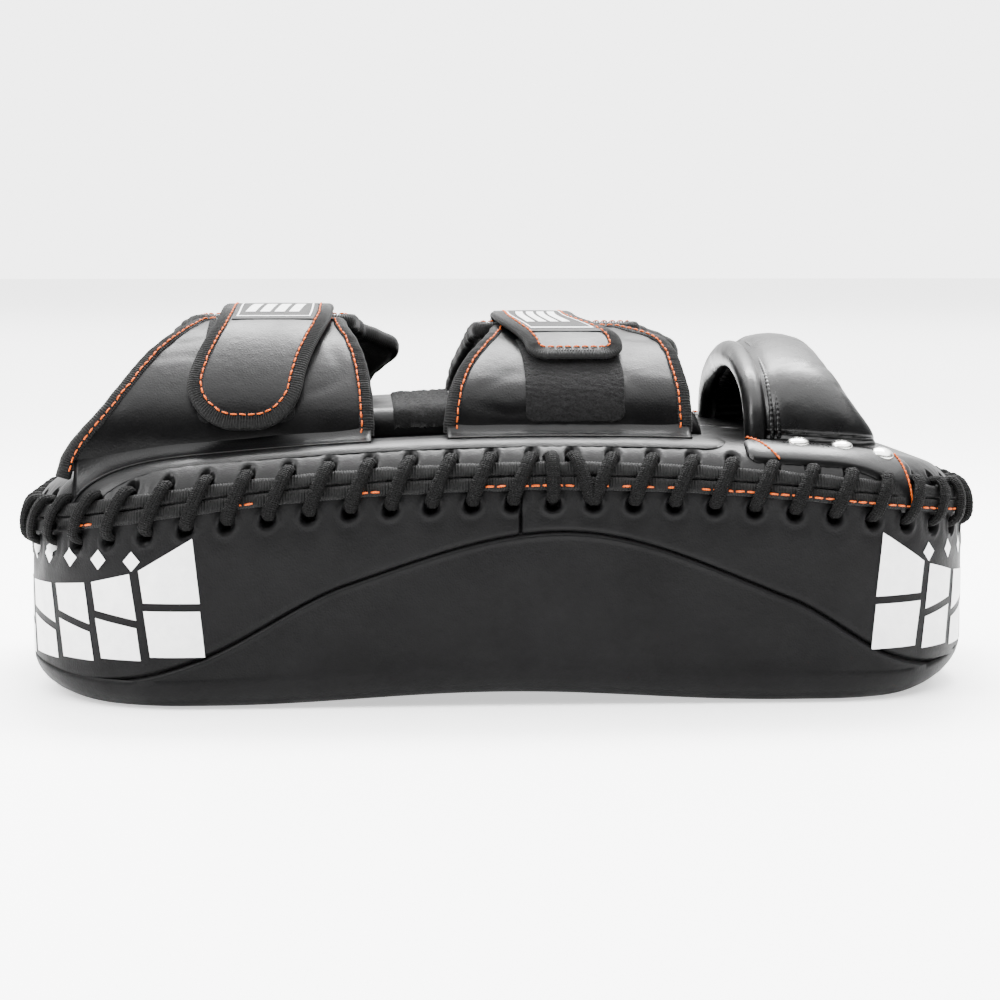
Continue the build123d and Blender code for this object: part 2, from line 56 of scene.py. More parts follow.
# ------------------------------------------------------------ shared sizes, as in the CAD model
pad_length = 400
pad_width = 200
corner_radius = 70
corner_x = pad_length / 2 - corner_radius
corner_y = pad_width / 2 - corner_radius
quarter_turn = corner_radius * PI / 2
rim_length = 4 * (corner_x + corner_y + quarter_turn)
back_crown_x = 20
back_crown_z = 108
back_radius = 1500
back_end_z = {-1: 86, 1: 88}
top_edge_radius = 24
bottom_edge_radius = 12
rim_crown_x = 15
rim_crown_z = 94
rim_radius = 1100
tape_height = 5.5
stitch_count = 66
stitch_pitch = rim_length / stitch_count
lower_hole_drop = 9
upper_hole_rise = 7.5
stitch_slant = 8.5
first_stitch = corner_x + 17
panel_seam_x = 4
face_seam = ((-230, 9), (-165, 11), (-123, 22), (-66, 51), (25, 72), (114, 44), (156, 20), (185, 13),
             (230, 13))
skin_thickness = 1.8


# ------------------------------------------------------------ small maths
def clamp(value, low=0.0, high=1.0):
    return max(low, min(high, value))


def smooth_step(value):
    value = clamp(value)
    return value * value * (3 - 2 * value)


def mix(a, b, t):
    return a + (b - a) * t


def bump_at(distance, width):
    """A round hump of height 1, about twice as wide as its width."""
    return math.exp(-((distance / width) ** 2))


def wrap_near(value, period):
    """Distance from the nearest multiple of a period."""
    return value - period * round(value / period)


def noise_at(a, b, c):
    """Smooth noise from -1 to 1 at three numbers."""
    return noise.noise(Vector((a, b, c)))


def ripple(x, y, z, size, seed=0.0):
    """Smooth noise from -1 to 1 whose features are about one size across."""
    return noise_at(x / size + seed, y / size - seed, z / size + 0.5 * seed)


def between_corners(corners, u, v):
    """The pair of numbers at shares u and v inside four corners given in order round the shape."""
    return [mix(mix(a, b, u), mix(d, c, u), v) for a, b, c, d in zip(*corners)]


def through(points, t):
    """Height of a smooth line through (x, z) points: cubic, with slopes taken from the neighbours."""
    last = len(points) - 2
    index = 0
    while index < last and t > points[index + 1][0]:
        index += 1
    (x0, z0), (x1, z1) = points[index], points[index + 1]
    before = points[max(index - 1, 0)]
    after = points[min(index + 2, len(points) - 1)]
    span = x1 - x0
    slope0 = (z1 - before[1]) / (x1 - before[0])
    slope1 = (after[1] - z0) / (after[0] - x0)
    u = clamp((t - x0) / span)
    return ((2 * u**3 - 3 * u**2 + 1) * z0 + (u**3 - 2 * u**2 + u) * span * slope0
            + (3 * u**2 - 2 * u**3) * z1 + (u**3 - u**2) * span * slope1)


# ------------------------------------------------------------ the pad's surface
def back_edge(x):
    """Height and slope of the back, before its edge is rounded."""
    inner = clamp(x, -corner_x, corner_x)
    root = math.sqrt(back_radius**2 - (inner - back_crown_x) ** 2)
    height, slope = back_crown_z - back_radius + root, -(inner - back_crown_x) / root
    if abs(x) <= corner_x:
        return height, slope
    side = 1 if x > 0 else -1
    span = pad_length / 2 - corner_x
    bend = (back_end_z[side] - height) / span**2 - side * slope / span
    run = abs(x) - corner_x
    return height + side * slope * run + bend * run**2, slope + side * 2 * bend * run


def rim_z(x):
    return rim_crown_z - rim_radius + math.sqrt(rim_radius**2 - (x - rim_crown_x) ** 2)


def foot_z(x):
    """Height of the striking face: two flat bands, a hollow between them and lifted ends."""
    if x > 160:
        return 8 * ((x - 160) / 40) ** 2
    if x < -165:
        return 4 * ((-165 - x) / 35) ** 2
    if -120 < x < 115:
        return 4.5 * math.sin(PI * (x + 120) / 235) ** 2
    return 0.0


def ring(run, inset=0.0):
    """Point on the outline drawn in by an inset, and the angle that faces outward there."""
    run = run % rim_length
    radius = max(corner_radius - inset, 0)
    centre_x = pad_length / 2 - inset - radius
    centre_y = pad_width / 2 - inset - radius
    sides = ((0, -1, corner_x), (1, 0, corner_y), (0, 1, corner_x), (-1, 0, corner_y))
    for index, (nx, ny, half) in enumerate(sides):
        out = -PI / 2 + index * PI / 2
        if run <= 2 * half:
            along = (run / half - 1)
            tx, ty = -ny, nx
            return (nx * (centre_x + radius) + tx * along * centre_x,
                    ny * (centre_y + radius) + ty * along * centre_y, out)
        run -= 2 * half
        if run <= quarter_turn:
            turn = out + run / corner_radius
            corner = ((1, -1), (1, 1), (-1, 1), (-1, -1))[index]
            return (corner[0] * centre_x + radius * math.cos(turn),
                    corner[1] * centre_y + radius * math.sin(turn), turn)
        run -= quarter_turn
    return ring(0, inset)


def rim_round(run):
    """Centre height of the top edge's rounding and the angle at which it meets the back."""
    x, _, out = ring(run)
    edge_z, slope = back_edge(x)
    fall = -slope * math.cos(out)
    centre_z = edge_z + top_edge_radius * (fall - math.sqrt(1 + fall**2))
    return centre_z, PI / 2 - math.atan(fall)


def rim_seam(run):
    """Height of the laced seam at a length along the rim."""
    return rim_z(ring(run)[0])


def wall(run, height, lift=0.0):
    """Point and outward normal on the rim, from the foot's rounding up over the top's rounding."""
    x, y, out = ring(run)
    centre_z, _ = rim_round(run)
    foot = foot_z(x)
    tilt = math.asin(clamp((height - centre_z) / top_edge_radius))
    inset = top_edge_radius * (1 - math.cos(tilt))
    if height < foot + bottom_edge_radius:
        tilt = -math.asin(clamp((foot + bottom_edge_radius - height) / bottom_edge_radius))
        inset = bottom_edge_radius * (1 - math.cos(tilt))
    normal = Vector((math.cos(tilt) * math.cos(out), math.cos(tilt) * math.sin(out), math.sin(tilt)))
    point = Vector((x - inset * math.cos(out), y - inset * math.sin(out), height))
    return point + normal * lift, normal


def over_back(run, tilt, lift=0.0):
    """Point on the top edge's rounding at an angle above level."""
    x, y, out = ring(run)
    centre_z, _ = rim_round(run)
    reach = top_edge_radius - (top_edge_radius + lift) * math.cos(tilt)
    height = centre_z + (top_edge_radius + lift) * math.sin(tilt)
    return Vector((x - reach * math.cos(out), y - reach * math.sin(out), height))


def hole_places(run):
    """Signed distances along the rim to the nearest lower and upper lace hole."""
    low = wrap_near(run - first_stitch, stitch_pitch)
    high = wrap_near(run - first_stitch - stitch_slant, stitch_pitch)
    return low, high


# ------------------------------------------------------------ mesh building
def grid_faces(rows, columns, wrap_rows=False, wrap_columns=False):
    """Quads of a row-by-row grid of points."""
    faces = []
    for row in range(rows if wrap_rows else rows - 1):
        for column in range(columns if wrap_columns else columns - 1):
            right = (column + 1) % columns
            below = (row + 1) % rows
            faces.append((row * columns + column, row * columns + right,
                          below * columns + right, below * columns + column))
    return faces


def piece(name, points, faces, body, slot, material, nodes=(), thickness=0.0, uv=None):
    """A mesh object from points in millimetres, riding on a body and standing for CAD nodes."""
    mesh = bpy.data.meshes.new(name)
    mesh.from_pydata([point * MM for point in points], [], faces)
    if uv:
        layer = mesh.uv_layers.new(name="along")
        for loop in mesh.loops:
            layer.data[loop.index].uv = uv[loop.vertex_index]
    work = bmesh.new()
    work.from_mesh(mesh)
    bmesh.ops.remove_doubles(work, verts=work.verts, dist=1e-6)
    bmesh.ops.recalc_face_normals(work, faces=work.faces)
    work.to_mesh(mesh)
    work.free()
    for polygon in mesh.polygons:
        polygon.use_smooth = True
    mesh.materials.append(material)
    obj = bpy.data.objects.new(name, mesh)
    bpy.context.collection.objects.link(obj)
    if thickness:
        solid = obj.modifiers.new("thickness", "SOLIDIFY")
        solid.thickness = thickness * MM
        solid.offset = -1
    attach(obj, body)
    if nodes:
        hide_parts(*nodes)
    return obj


def grid_piece(name, rows, body, slot, material, nodes=(), wrap_rows=False, wrap_columns=False, **more):
    points = [point for row in rows for point in row]
    faces = grid_faces(len(rows), len(rows[0]), wrap_rows, wrap_columns)
    return piece(name, points, faces, body, slot, material, nodes, **more)


def smooth_line(points, step):
    """Catmull-Rom line through points, in steps of about one length."""
    line = []
    for index in range(len(points) - 1):
        before = points[max(index - 1, 0)]
        start, end = points[index], points[index + 1]
        after = points[min(index + 2, len(points) - 1)]
        count = max(1, round((end - start).length / step))
        for part in range(count):
            t = part / count
            line.append(0.5 * (2 * start + (end - before) * t
                               + (2 * before - 5 * start + 4 * end - after) * t * t
                               + (3 * start - before - 3 * end + after) * t**3))
    line.append(points[-1].copy())
    return line


def dashes(name, line, body, slot, material, pitch, length, radius, jitter, skip=None):
    """Sewing thread: short bent capsules along a line of (point, normal) pairs."""
    points, faces = [], []
    sides, rings = 7, 5
    next_start, count = 0.6, 0
    lengths = [0.0]
    for (a, _), (b, _) in zip(line, line[1:]):
        lengths.append(lengths[-1] + (b - a).length)

    def at(distance):
        distance = clamp(distance, 0, lengths[-1])
        high = min(bisect_right(lengths, distance), len(lengths) - 1)
        low = high - 1
        t = (distance - lengths[low]) / max(lengths[high] - lengths[low], 1e-9)
        return line[low][0].lerp(line[high][0], t), line[low][1].lerp(line[high][1], t).normalized()

    while next_start + length < lengths[-1]:
        count += 1
        centre = next_start + length / 2
        if skip is None or not skip(centre):
            wobble = jitter * noise_at(count * 1.7, 3.1, 0.2)
            middle, normal = at(centre)
            ahead, _ = at(centre + 0.5)
            along = (ahead - middle).normalized()
            side = along.cross(normal).normalized()
            base = len(points)
            for number in range(rings):
                t = number / (rings - 1)
                spot, up = at(next_start + length * t)
                size = radius * (0.35 + 0.65 * math.sin(PI * clamp(0.12 + 0.76 * t)) ** 0.5)
                height = radius * (0.9 * math.sin(PI * t) - 0.35)
                spot = spot + up * height + side * wobble * (2 * t - 1)
                for corner in range(sides):
                    angle = 2 * PI * corner / sides
                    points.append(spot + side * size * math.cos(angle) + up * size * math.sin(angle))
            faces += [tuple(base + index for index in face) for face in grid_faces(rings, sides, False, True)]
            faces.append(tuple(base + corner for corner in range(sides)))
            faces.append(tuple(base + (rings - 1) * sides + corner for corner in reversed(range(sides))))
        next_start += pitch
    return piece(name, points, faces, body, slot, material)


# ------------------------------------------------------------ materials
def grey(value):
    return (value, value, value)


def material(name, color, roughness, metallic=0.0, gloss=0.5):
    """A principled material and the handles that the finishes below need."""
    made = bpy.data.materials.new(name)
    made.use_nodes = True
    nodes, links = made.node_tree.nodes, made.node_tree.links
    shader = nodes["Principled BSDF"]
    shader.inputs["Base Color"].default_value = (*color, 1)
    shader.inputs["Roughness"].default_value = roughness
    shader.inputs["Metallic"].default_value = metallic
    shader.inputs["Specular IOR Level"].default_value = gloss
    place = nodes.new("ShaderNodeTexCoord")
    return made, nodes, links, shader, place


def noise_node(nodes, links, vector, scale, detail=3.0, roughness=0.55):
    made = nodes.new("ShaderNodeTexNoise")
    made.inputs["Scale"].default_value = scale
    made.inputs["Detail"].default_value = detail
    made.inputs["Roughness"].default_value = roughness
    links.new(vector, made.inputs["Vector"])
    return made.outputs["Fac"]


def ramp(nodes, links, value, stops):
    """Colour ramp from (position, colour) stops."""
    made = nodes.new("ShaderNodeValToRGB")
    elements = made.color_ramp.elements
    while len(elements) < len(stops):
        elements.new(0.5)
    for element, (position, color) in zip(elements, stops):
        element.position = position
        element.color = (*color, 1)
    links.new(value, made.inputs["Fac"])
    return made.outputs["Color"]


def bump(nodes, links, height, strength, distance, before=None):
    made = nodes.new("ShaderNodeBump")
    made.inputs["Strength"].default_value = strength
    made.inputs["Distance"].default_value = distance
    links.new(height, made.inputs["Height"])
    if before:
        links.new(before, made.inputs["Normal"])
    return made.outputs["Normal"]


def leather(name, dark, light, rough, grain, gloss):
    """Soft semi-matt leather: pebbled grain, faint creases and uneven sheen."""
    made, nodes, links, shader, place = material(name, dark, rough[0], gloss=gloss)
    spot = place.outputs["Object"]
    cloud = noise_node(nodes, links, spot, 28, 4)
    links.new(ramp(nodes, links, cloud, ((0.3, dark), (0.75, light))), shader.inputs["Base Color"])
    low, high = rough
    patches = noise_node(nodes, links, spot, 60, 3)
    links.new(ramp(nodes, links, patches, ((0.3, grey(low)), (0.7, grey(high)))), shader.inputs["Roughness"])
    cells = nodes.new("ShaderNodeTexVoronoi")
    cells.feature = "DISTANCE_TO_EDGE"
    cells.inputs["Scale"].default_value = 750
    links.new(spot, cells.inputs["Vector"])
    first = bump(nodes, links, cells.outputs["Distance"], grain, 0.0003)
    second = bump(nodes, links, noise_node(nodes, links, spot, 260, 4, 0.6), 0.22, 0.0005, first)
    third = bump(nodes, links, noise_node(nodes, links, spot, 38, 3), 0.25, 0.002, second)
    links.new(third, shader.inputs["Normal"])
    return made


def cloth(name, dark, light, rough, scale, depth, gloss=0.1):
    """Matt woven or felted cloth with a fine uneven surface."""
    made, nodes, links, shader, place = material(name, dark, rough, gloss=gloss)
    spot = place.outputs["Object"]
    fibres = noise_node(nodes, links, spot, scale, 5, 0.7)
    links.new(ramp(nodes, links, fibres, ((0.35, dark), (0.7, light))), shader.inputs["Base Color"])
    links.new(bump(nodes, links, fibres, 0.8, depth), shader.inputs["Normal"])
    shader.inputs["Sheen Weight"].default_value = 0.02
    shader.inputs["Sheen Roughness"].default_value = 0.5
    return made


def braid(name):
    """Braided lace: crossing yarns along the cord's own coordinates, with worn light flecks."""
    made, nodes, links, shader, place = material(name, grey(0.006), 0.75, gloss=0.08)
    split = nodes.new("ShaderNodeSeparateXYZ")
    links.new(place.outputs["UV"], split.inputs["Vector"])
    crossing = []
    for sign in (1, -1):
        lean = nodes.new("ShaderNodeMath")
        lean.operation = "MULTIPLY_ADD"
        lean.inputs[1].default_value = sign * 0.55
        links.new(split.outputs["Y"], lean.inputs[0])
        links.new(split.outputs["X"], lean.inputs[2])
        wave = nodes.new("ShaderNodeMath")
        wave.operation = "SINE"
        links.new(lean.outputs[0], wave.inputs[0])
        crossing.append(wave.outputs[0])
    weave = nodes.new("ShaderNodeMath")
    weave.operation = "MULTIPLY"
    links.new(crossing[0], weave.inputs[0])
    links.new(crossing[1], weave.inputs[1])
    fibres = noise_node(nodes, links, place.outputs["Object"], 1500, 4, 0.7)
    base = ramp(nodes, links, fibres,
                ((0.42, grey(0.0015)), (0.66, grey(0.006)), (0.84, (0.05, 0.048, 0.045))))
    links.new(base, shader.inputs["Base Color"])
    first = bump(nodes, links, weave.outputs[0], 0.8, 0.0005)
    links.new(bump(nodes, links, fibres, 0.7, 0.0003, first), shader.inputs["Normal"])
    return made


cover_leather = leather("cover_leather", (0.0012, 0.0012, 0.0013), (0.0024, 0.0024, 0.0026),
                        (0.44, 0.58), 0.35, 0.09)
back_leather = leather("back_leather", (0.0008, 0.0008, 0.0009), (0.0016, 0.0016, 0.0017),
                       (0.28, 0.40), 0.28, 0.10)
flap_leather = leather("flap_leather", (0.0008, 0.0008, 0.0009), (0.0018, 0.0018, 0.0019),
                       (0.28, 0.40), 0.28, 0.10)
grip_leather = leather("grip_leather", (0.0010, 0.0010, 0.0011), (0.0018, 0.0018, 0.0019),
                       (0.24, 0.36), 0.15, 0.2)
tape_cloth = cloth("tape_cloth", grey(0.0010), grey(0.010), 0.6, 1400, 0.0002, 0.12)
lining_cloth = cloth("lining_cloth", grey(0.002), grey(0.005), 0.8, 900, 0.0003)
loop_cloth = cloth("loop_cloth", grey(0.0012), (0.009, 0.009, 0.0092), 0.9, 1100, 0.0008)
lace_braid = braid("lace_braid")
thread = cloth("orange_thread", (0.34, 0.045, 0.004), (0.62, 0.12, 0.012), 0.55, 2500, 0.0001)
print_white = cloth("print_white", (0.72, 0.72, 0.72), (0.85, 0.85, 0.84), 0.4, 120, 0.00005)


# ------------------------------------------------------------ pad covers
def run_samples(step):
    count = round(rim_length / step)
    return [rim_length * index / count for index in range(count)]


def seam_height(run):
    """Height of the seam where the striking face's cover meets the side panels."""
    return through(face_seam, ring(run)[0])


def pulled(run, height):
    """How far lacing tension moves the leather at a place on the rim, in millimetres."""
    low, high = hole_places(run)
    seam = rim_seam(run)
    lower_z, upper_z = seam - lower_hole_drop, seam + upper_hole_rise
    move = 0.0
    for across, hole_z, deep in ((low, lower_z - 1.8, 4.5), (high, upper_z + 0.8, 3.2)):
        reach = math.hypot(across, height - hole_z)
        move += -deep * smooth_step((3.2 - reach) / 1.3)
        move += (0.9 if deep > 4 else 0.25) * bump_at(reach - 4.2, 0.9)
        move += -0.8 * bump_at(reach, 7.0)
    tuck = bump_at(height - seam, 14)
    sway = math.cos(2 * PI * (low - stitch_pitch / 2) / stitch_pitch)
    move += (0.5 if height < seam else 0.3) * tuck * sway
    return move


def leather_lift(run, height, amount=0.6):
    point, _ = wall(run, height)
    slow = ripple(point.x, point.y, point.z, 60, 4.0)
    quick = ripple(point.x, point.y, point.z, 17, 9.0)
    return amount * slow + 0.18 * quick


def panel_grid(runs, low_edge, high_edge):
    """Rows of points between two heights, closer together near the rim."""
    rows = []
    row_count = 40
    for index in range(row_count + 1):
        share = 1 - (1 - index / row_count) ** 1.7
        row = []
        for run in runs:
            low, high = low_edge(run), high_edge(run)
            height = mix(low, high, share)
            lift = leather_lift(run, height) + pulled(run, height)
            lift -= 1.6 * bump_at(height - low, 1.1)
            row.append(wall(run, height, lift)[0])
        rows.append(row)
    return rows


step = 0.9
for name, side in (("side_panel_left", -1), ("side_panel_right", 1)):
    seam_run = corner_x + panel_seam_x
    far_seam_run = 2 * corner_x + 2 * quarter_turn + 2 * corner_y + corner_x - panel_seam_x
    start, end = (seam_run, far_seam_run) if side > 0 else (far_seam_run, seam_run + rim_length)
    count = round((end - start) / step)
    runs = [start + (end - start) * index / count for index in range(count + 1)]
    rows = panel_grid(runs, lambda run: seam_height(run) - 0.8, rim_seam)
    for row in rows:
        for index in (0, 1, -2, -1):
            inward = Vector((0, 1 if row[index].y < 0 else -1, 0))
            row[index] += inward * (1.5 if index in (0, -1) else 0.35)
    grid_piece(name + "_skin", rows, "pad", "panel_leather", cover_leather, [name], thickness=skin_thickness)

runs = run_samples(1.8)
rows = []
for inset in (99.9, 90, 75, 60, 45, 32, 22, 16):
    row = []
    for run in runs:
        x, y, _ = ring(run, inset)
        row.append(Vector((x, y, foot_z(x) + 0.3 * ripple(x, y, 0, 45, 2.0) * smooth_step((inset - 12) / 20)
                           if -118 < x < 113 else foot_z(x))))
    rows.append(row)
for index in range(9):
    tilt = -PI / 2 * (1 - index / 8)
    rise = bottom_edge_radius * (1 + math.sin(tilt))
    rows.append([wall(run, foot_z(ring(run)[0]) + rise)[0] for run in runs])
for index in range(1, 35):
    share = 1 - (1 - index / 34) ** 1.9
    row = []
    for run in runs:
        low = foot_z(ring(run)[0]) + bottom_edge_radius
        high = max(seam_height(run) + 0.2, low + 0.2)
        height = mix(low, high, share)
        lift = leather_lift(run, height) * smooth_step((height - low) / 8)
        over = height - seam_height(run)
        lift -= 1.5 * bump_at(over, 0.8) + 0.2 - 0.55 * bump_at(over + 2.0, 0.8)
        row.append(wall(run, height, lift)[0])
    rows.append(row)
grid_piece("striking_face_skin", rows, "pad", "cover_leather", cover_leather, ["striking_face_cover"],
           wrap_columns=True, thickness=skin_thickness)

runs = run_samples(step)
rows = []
for index in range(17):
    row = []
    for run in runs:
        centre_z, meet = rim_round(run)
        seam = rim_seam(run)
        start = math.asin(clamp((seam - centre_z) / top_edge_radius, -1, 1))
        tilt = mix(start, meet, index / 16)
        height = centre_z + top_edge_radius * math.sin(tilt)
        fade = 1 - smooth_step((index - 10) / 6)
        row.append(over_back(run, tilt, (pulled(run, height) + leather_lift(run, height, 0.4)) * fade))
    rows.append(row)
for inset in (27, 31, 36, 42, 50, 60, 72, 86, 99.9):
    row = []
    for run in runs:
        x, y, _ = ring(run, inset)
        sag = 0.5 * ripple(x, y, 0, 40, 7.0) * smooth_step((inset - 24) / 12)
        row.append(Vector((x, y, back_edge(x)[0] + sag)))
    rows.append(row)
grid_piece("back_skin", rows, "pad", "back_leather", back_leather, ["back_cover"],
           wrap_columns=True, thickness=skin_thickness)


# ------------------------------------------------------------ rim tapes, lace and thread
def rim_tape(name, node, low, high):
    """Grosgrain tape round the rim, its ribs running up and down."""
    rib, lift = 1.15, 1.3
    count = round(rim_length / rib) * 4
    rows = []
    shares = (0, 0.12, 0.35, 0.65, 0.88, 1)
    for share in shares:
        row = []
        for index in range(count):
            run = rim_length * index / count
            seam = rim_seam(run)
            edge = 0.35 * noise_at(run / 7, low, 1.5) if share in (0, 1) else 0
            rise = 0.26 * math.cos(2 * PI * index / 4 + 0.4)
            arch = lift * (1 if 0 < share < 1 else 0.15)
            low_hole, _ = hole_places(run)
            squeeze = -0.5 * bump_at(low_hole - 3.5, 3.5)
            height = seam + mix(low, high, share) + edge
            row.append(wall(run, height, arch + rise + squeeze)[0])
        rows.append(row)
    return grid_piece(name, rows, "pad", "binding_tape", tape_cloth, [node], wrap_columns=True, thickness=0.8)


rim_tape("side_tape", "side_binding_tape", -tape_height, -0.1)
rim_tape("back_tape", "back_binding_tape", 0.1, tape_height)

# The lace: a lower and an upper hole for each stitch, with one extra leaning strand that makes a V
lace_wide, lace_deep, braid_pitch = 2.65, 1.85, 3.4
holes = []
for count in range(stitch_count):
    if count == 1:
        holes.append((first_stitch + stitch_pitch - 1.2, first_stitch + stitch_slant))
    low_run = first_stitch + count * stitch_pitch
    high_run = low_run + (stitch_slant if count else 0)
    jitter = 0.5 * noise_at(count * 2.3, 0.4, 7.7)
    holes.append((low_run, high_run + jitter))


def lace_point(run, offset, lift):
    return wall(run, rim_seam(run) + offset, lift)[0]


route = []
for low_run, high_run in holes:
    route += [lace_point(low_run, -lower_hole_drop, -4.5),
              lace_point(mix(low_run, high_run, 0.06), -lower_hole_drop + 1.2, 2.1),
              lace_point(mix(low_run, high_run, 0.35), -2.5, 3.6),
              lace_point(mix(low_run, high_run, 0.68), 2.6, 3.7),
              lace_point(mix(low_run, high_run, 0.95), upper_hole_rise - 0.8, 2.2),
              lace_point(high_run, upper_hole_rise, -4.5)]
line = smooth_line(route, 0.65)
points, uv = [], []
sides = 16
travelled = 0.0
for index, centre in enumerate(line):
    ahead, behind = line[min(index + 1, len(line) - 1)], line[max(index - 1, 0)]
    along = (ahead - behind).normalized()
    out = math.atan2(centre.y - clamp(centre.y, -corner_y, corner_y),
                     centre.x - clamp(centre.x, -corner_x, corner_x))
    rimwise = Vector((-math.sin(out), math.cos(out), 0))
    across = (rimwise - along * rimwise.dot(along)).normalized()
    depth = along.cross(across).normalized()
    if index:
        travelled += (centre - line[index - 1]).length
    for corner in range(sides):
        angle = 2 * PI * corner / sides
        turn = 2 * PI * travelled / braid_pitch
        weave = math.sin(turn + 3 * angle) * math.sin(turn - 3 * angle)
        size = 1 + 0.13 * weave + 0.05 * noise_at(travelled / 1.3, angle, 0.5)
        points.append(centre + across * lace_wide * size * math.cos(angle)
                      + depth * lace_deep * size * math.sin(angle))
        uv.append((travelled * 2 * PI / 1.7, angle * 6 / 0.55))
faces = grid_faces(len(line), sides, False, True)
faces.append(tuple(range(sides)))
faces.append(tuple(reversed(range(len(points) - sides, len(points)))))
piece("rim_lace", points, faces, "pad", "lace_braid", lace_braid, ["lacing_cord"], uv=uv)

thread_samples, thread_drop, thread_lift = 1400, 3.9, 1.75
thread_line = []
for index in range(thread_samples):
    run = index * rim_length / thread_samples
    thread_line.append(wall(run, rim_seam(run) - thread_drop, thread_lift))


def under_lace(distance):
    """True where the rim thread is hidden: left of the middle it only shows here and there."""
    x, y, _ = ring(distance)
    if y < 0 and x < -20:
        return noise_at(distance / 16, 2.2, 0.0) < 0.32
    return noise_at(distance / 9, 5.2, 0.0) < -0.28


dashes("rim_thread", thread_line, "pad", "binding_tape", thread, 4.6, 3.4, 0.42, 0.3, under_lace)


# ------------------------------------------------------------ the back, as a surface
def back_point(x, y, lift=0.0):
    """Point on the pad's back over a place, its rounded top edge included."""
    dx, dy = max(abs(x) - corner_x, 0), max(abs(y) - corner_y, 0)
    reach = math.hypot(dx, dy)
    inset = corner_radius - reach
    if reach < 1e-6:
        inset = min(pad_length / 2 - abs(x), pad_width / 2 - abs(y))
    if inset < top_edge_radius:
        if dx and dy:
            out = math.atan2(math.copysign(dy, y), math.copysign(dx, x))
            edge_x = math.copysign(corner_x, x) + corner_radius * math.cos(out)
        elif dy >= dx:
            out, edge_x = math.copysign(PI / 2, y), x
        else:
            out, edge_x = (0 if x > 0 else PI), x + math.copysign(pad_length / 2 - abs(x), x)
        edge_z, slope = back_edge(edge_x)
        fall = -slope * math.cos(out)
        centre_z = edge_z + top_edge_radius * (fall - math.sqrt(1 + fall**2))
        tilt = math.acos(clamp((top_edge_radius - inset) / top_edge_radius))
        if tilt < PI / 2 - math.atan(fall):
            normal = Vector((math.cos(tilt) * math.cos(out), math.cos(tilt) * math.sin(out), math.sin(tilt)))
            return Vector((x, y, centre_z + top_edge_radius * math.sin(tilt))) + normal * lift
    height, slope = back_edge(x)
    return Vector((x, y, height)) + Vector((-slope, 0, 1)).normalized() * lift


def patch(name, x_range, y_range, lift, slot, surface, nodes, corner, edge, cell=1.6):
    """Soft-edged patch lying on the back: full height inside, falling to nothing at its rounded outline."""
    wide, deep = x_range[1] - x_range[0], y_range[1] - y_range[0]
    across, along = max(4, round(deep / cell)), max(4, round(wide / cell))
    rows = []
    for j in range(across + 1):
        row = []
        for i in range(along + 1):
            x, y = x_range[0] + wide * i / along, y_range[0] + deep * j / across
            inner_x = min(x - x_range[0], x_range[1] - x)
            inner_y = min(y - y_range[0], y_range[1] - y)
            if inner_x < corner and inner_y < corner:
                reach = math.hypot(corner - inner_x, corner - inner_y)
                if reach > corner:
                    pull = 1 - corner / reach
                    x += (corner - inner_x) * pull * (1 if x < sum(x_range) / 2 else -1)
                    y += (corner - inner_y) * pull * (1 if y < sum(y_range) / 2 else -1)
                inside = max(corner - reach, 0)
            else:
                inside = min(inner_x, inner_y)
            t = clamp(inside / edge)
            height = lift * math.sqrt(1 - (1 - t) ** 2)
            row.append(back_point(x, y, height - 0.15 * (1 - t)))
        rows.append(row)
    return grid_piece(name, rows, "pad", slot, surface, nodes)


# ------------------------------------------------------------ forearm rest and strips
rest_x = (-172, 84)
rest_half_width = 52
rest_rise = 12.2
end_roll, flank_roll = 11, 9
pile_x = (-46, -20)


def rest_top(x, y, lift=0.0):
    """Height of the padded rest over the back, with rolled edges and a few soft sags."""
    run = min(x - rest_x[0], rest_x[1] - x)
    side = rest_half_width - abs(y)
    ends = math.sqrt(1 - (1 - clamp(run / end_roll)) ** 2)
    flanks = math.sqrt(1 - (1 - clamp(side / flank_roll)) ** 2)
    height = rest_rise * ends**0.8 * flanks**0.8 + 0.5 * ripple(x, y, 0, 30, 12.0) * ends * flanks
    return back_point(x, y, height + lift)


rows = []
for j in range(65):
    y = rest_half_width * math.sin(PI / 2 * clamp((j - 32) / 32, -1, 1))
    rows.append([rest_top(mix(rest_x[0], rest_x[1], 0.5 - 0.5 * math.cos(PI * i / 150)), y)
                 for i in range(151)])
rest = grid_piece("forearm_rest", rows, "pad", "back_leather", back_leather,
                  ["forearm_rest_cover", "forearm_rest_foam"])
rows = []
for j in range(119):
    y = mix(-rest_half_width - 1.3, rest_half_width + 1.3, j / 118)
    row = []
    for i in range(29):
        x = mix(*pile_x, i / 28)
        pile = (0.8 + 0.7 * noise.noise(Vector((x, y, 1.7)) * 0.5)
                + 0.8 * noise.noise(Vector((x, y, 5.1)) * 1.2))
        if i in (0, 28):
            pile = 0.1
        row.append(rest_top(x, clamp(y, -51.9, 51.9), pile))
    rows.append(row)
grid_piece("rest_pile", rows, "pad", "loop_pile", loop_cloth, ["rest_loop_strip"])

for half, low, high in (("near", -87, -60), ("far", 60, 87)):
    patch(f"base_strip_{half}", (-186, 90), (low, high), 0.8, "back_leather", back_leather,
          [f"flap_strip_{half}"], corner=9, edge=9)


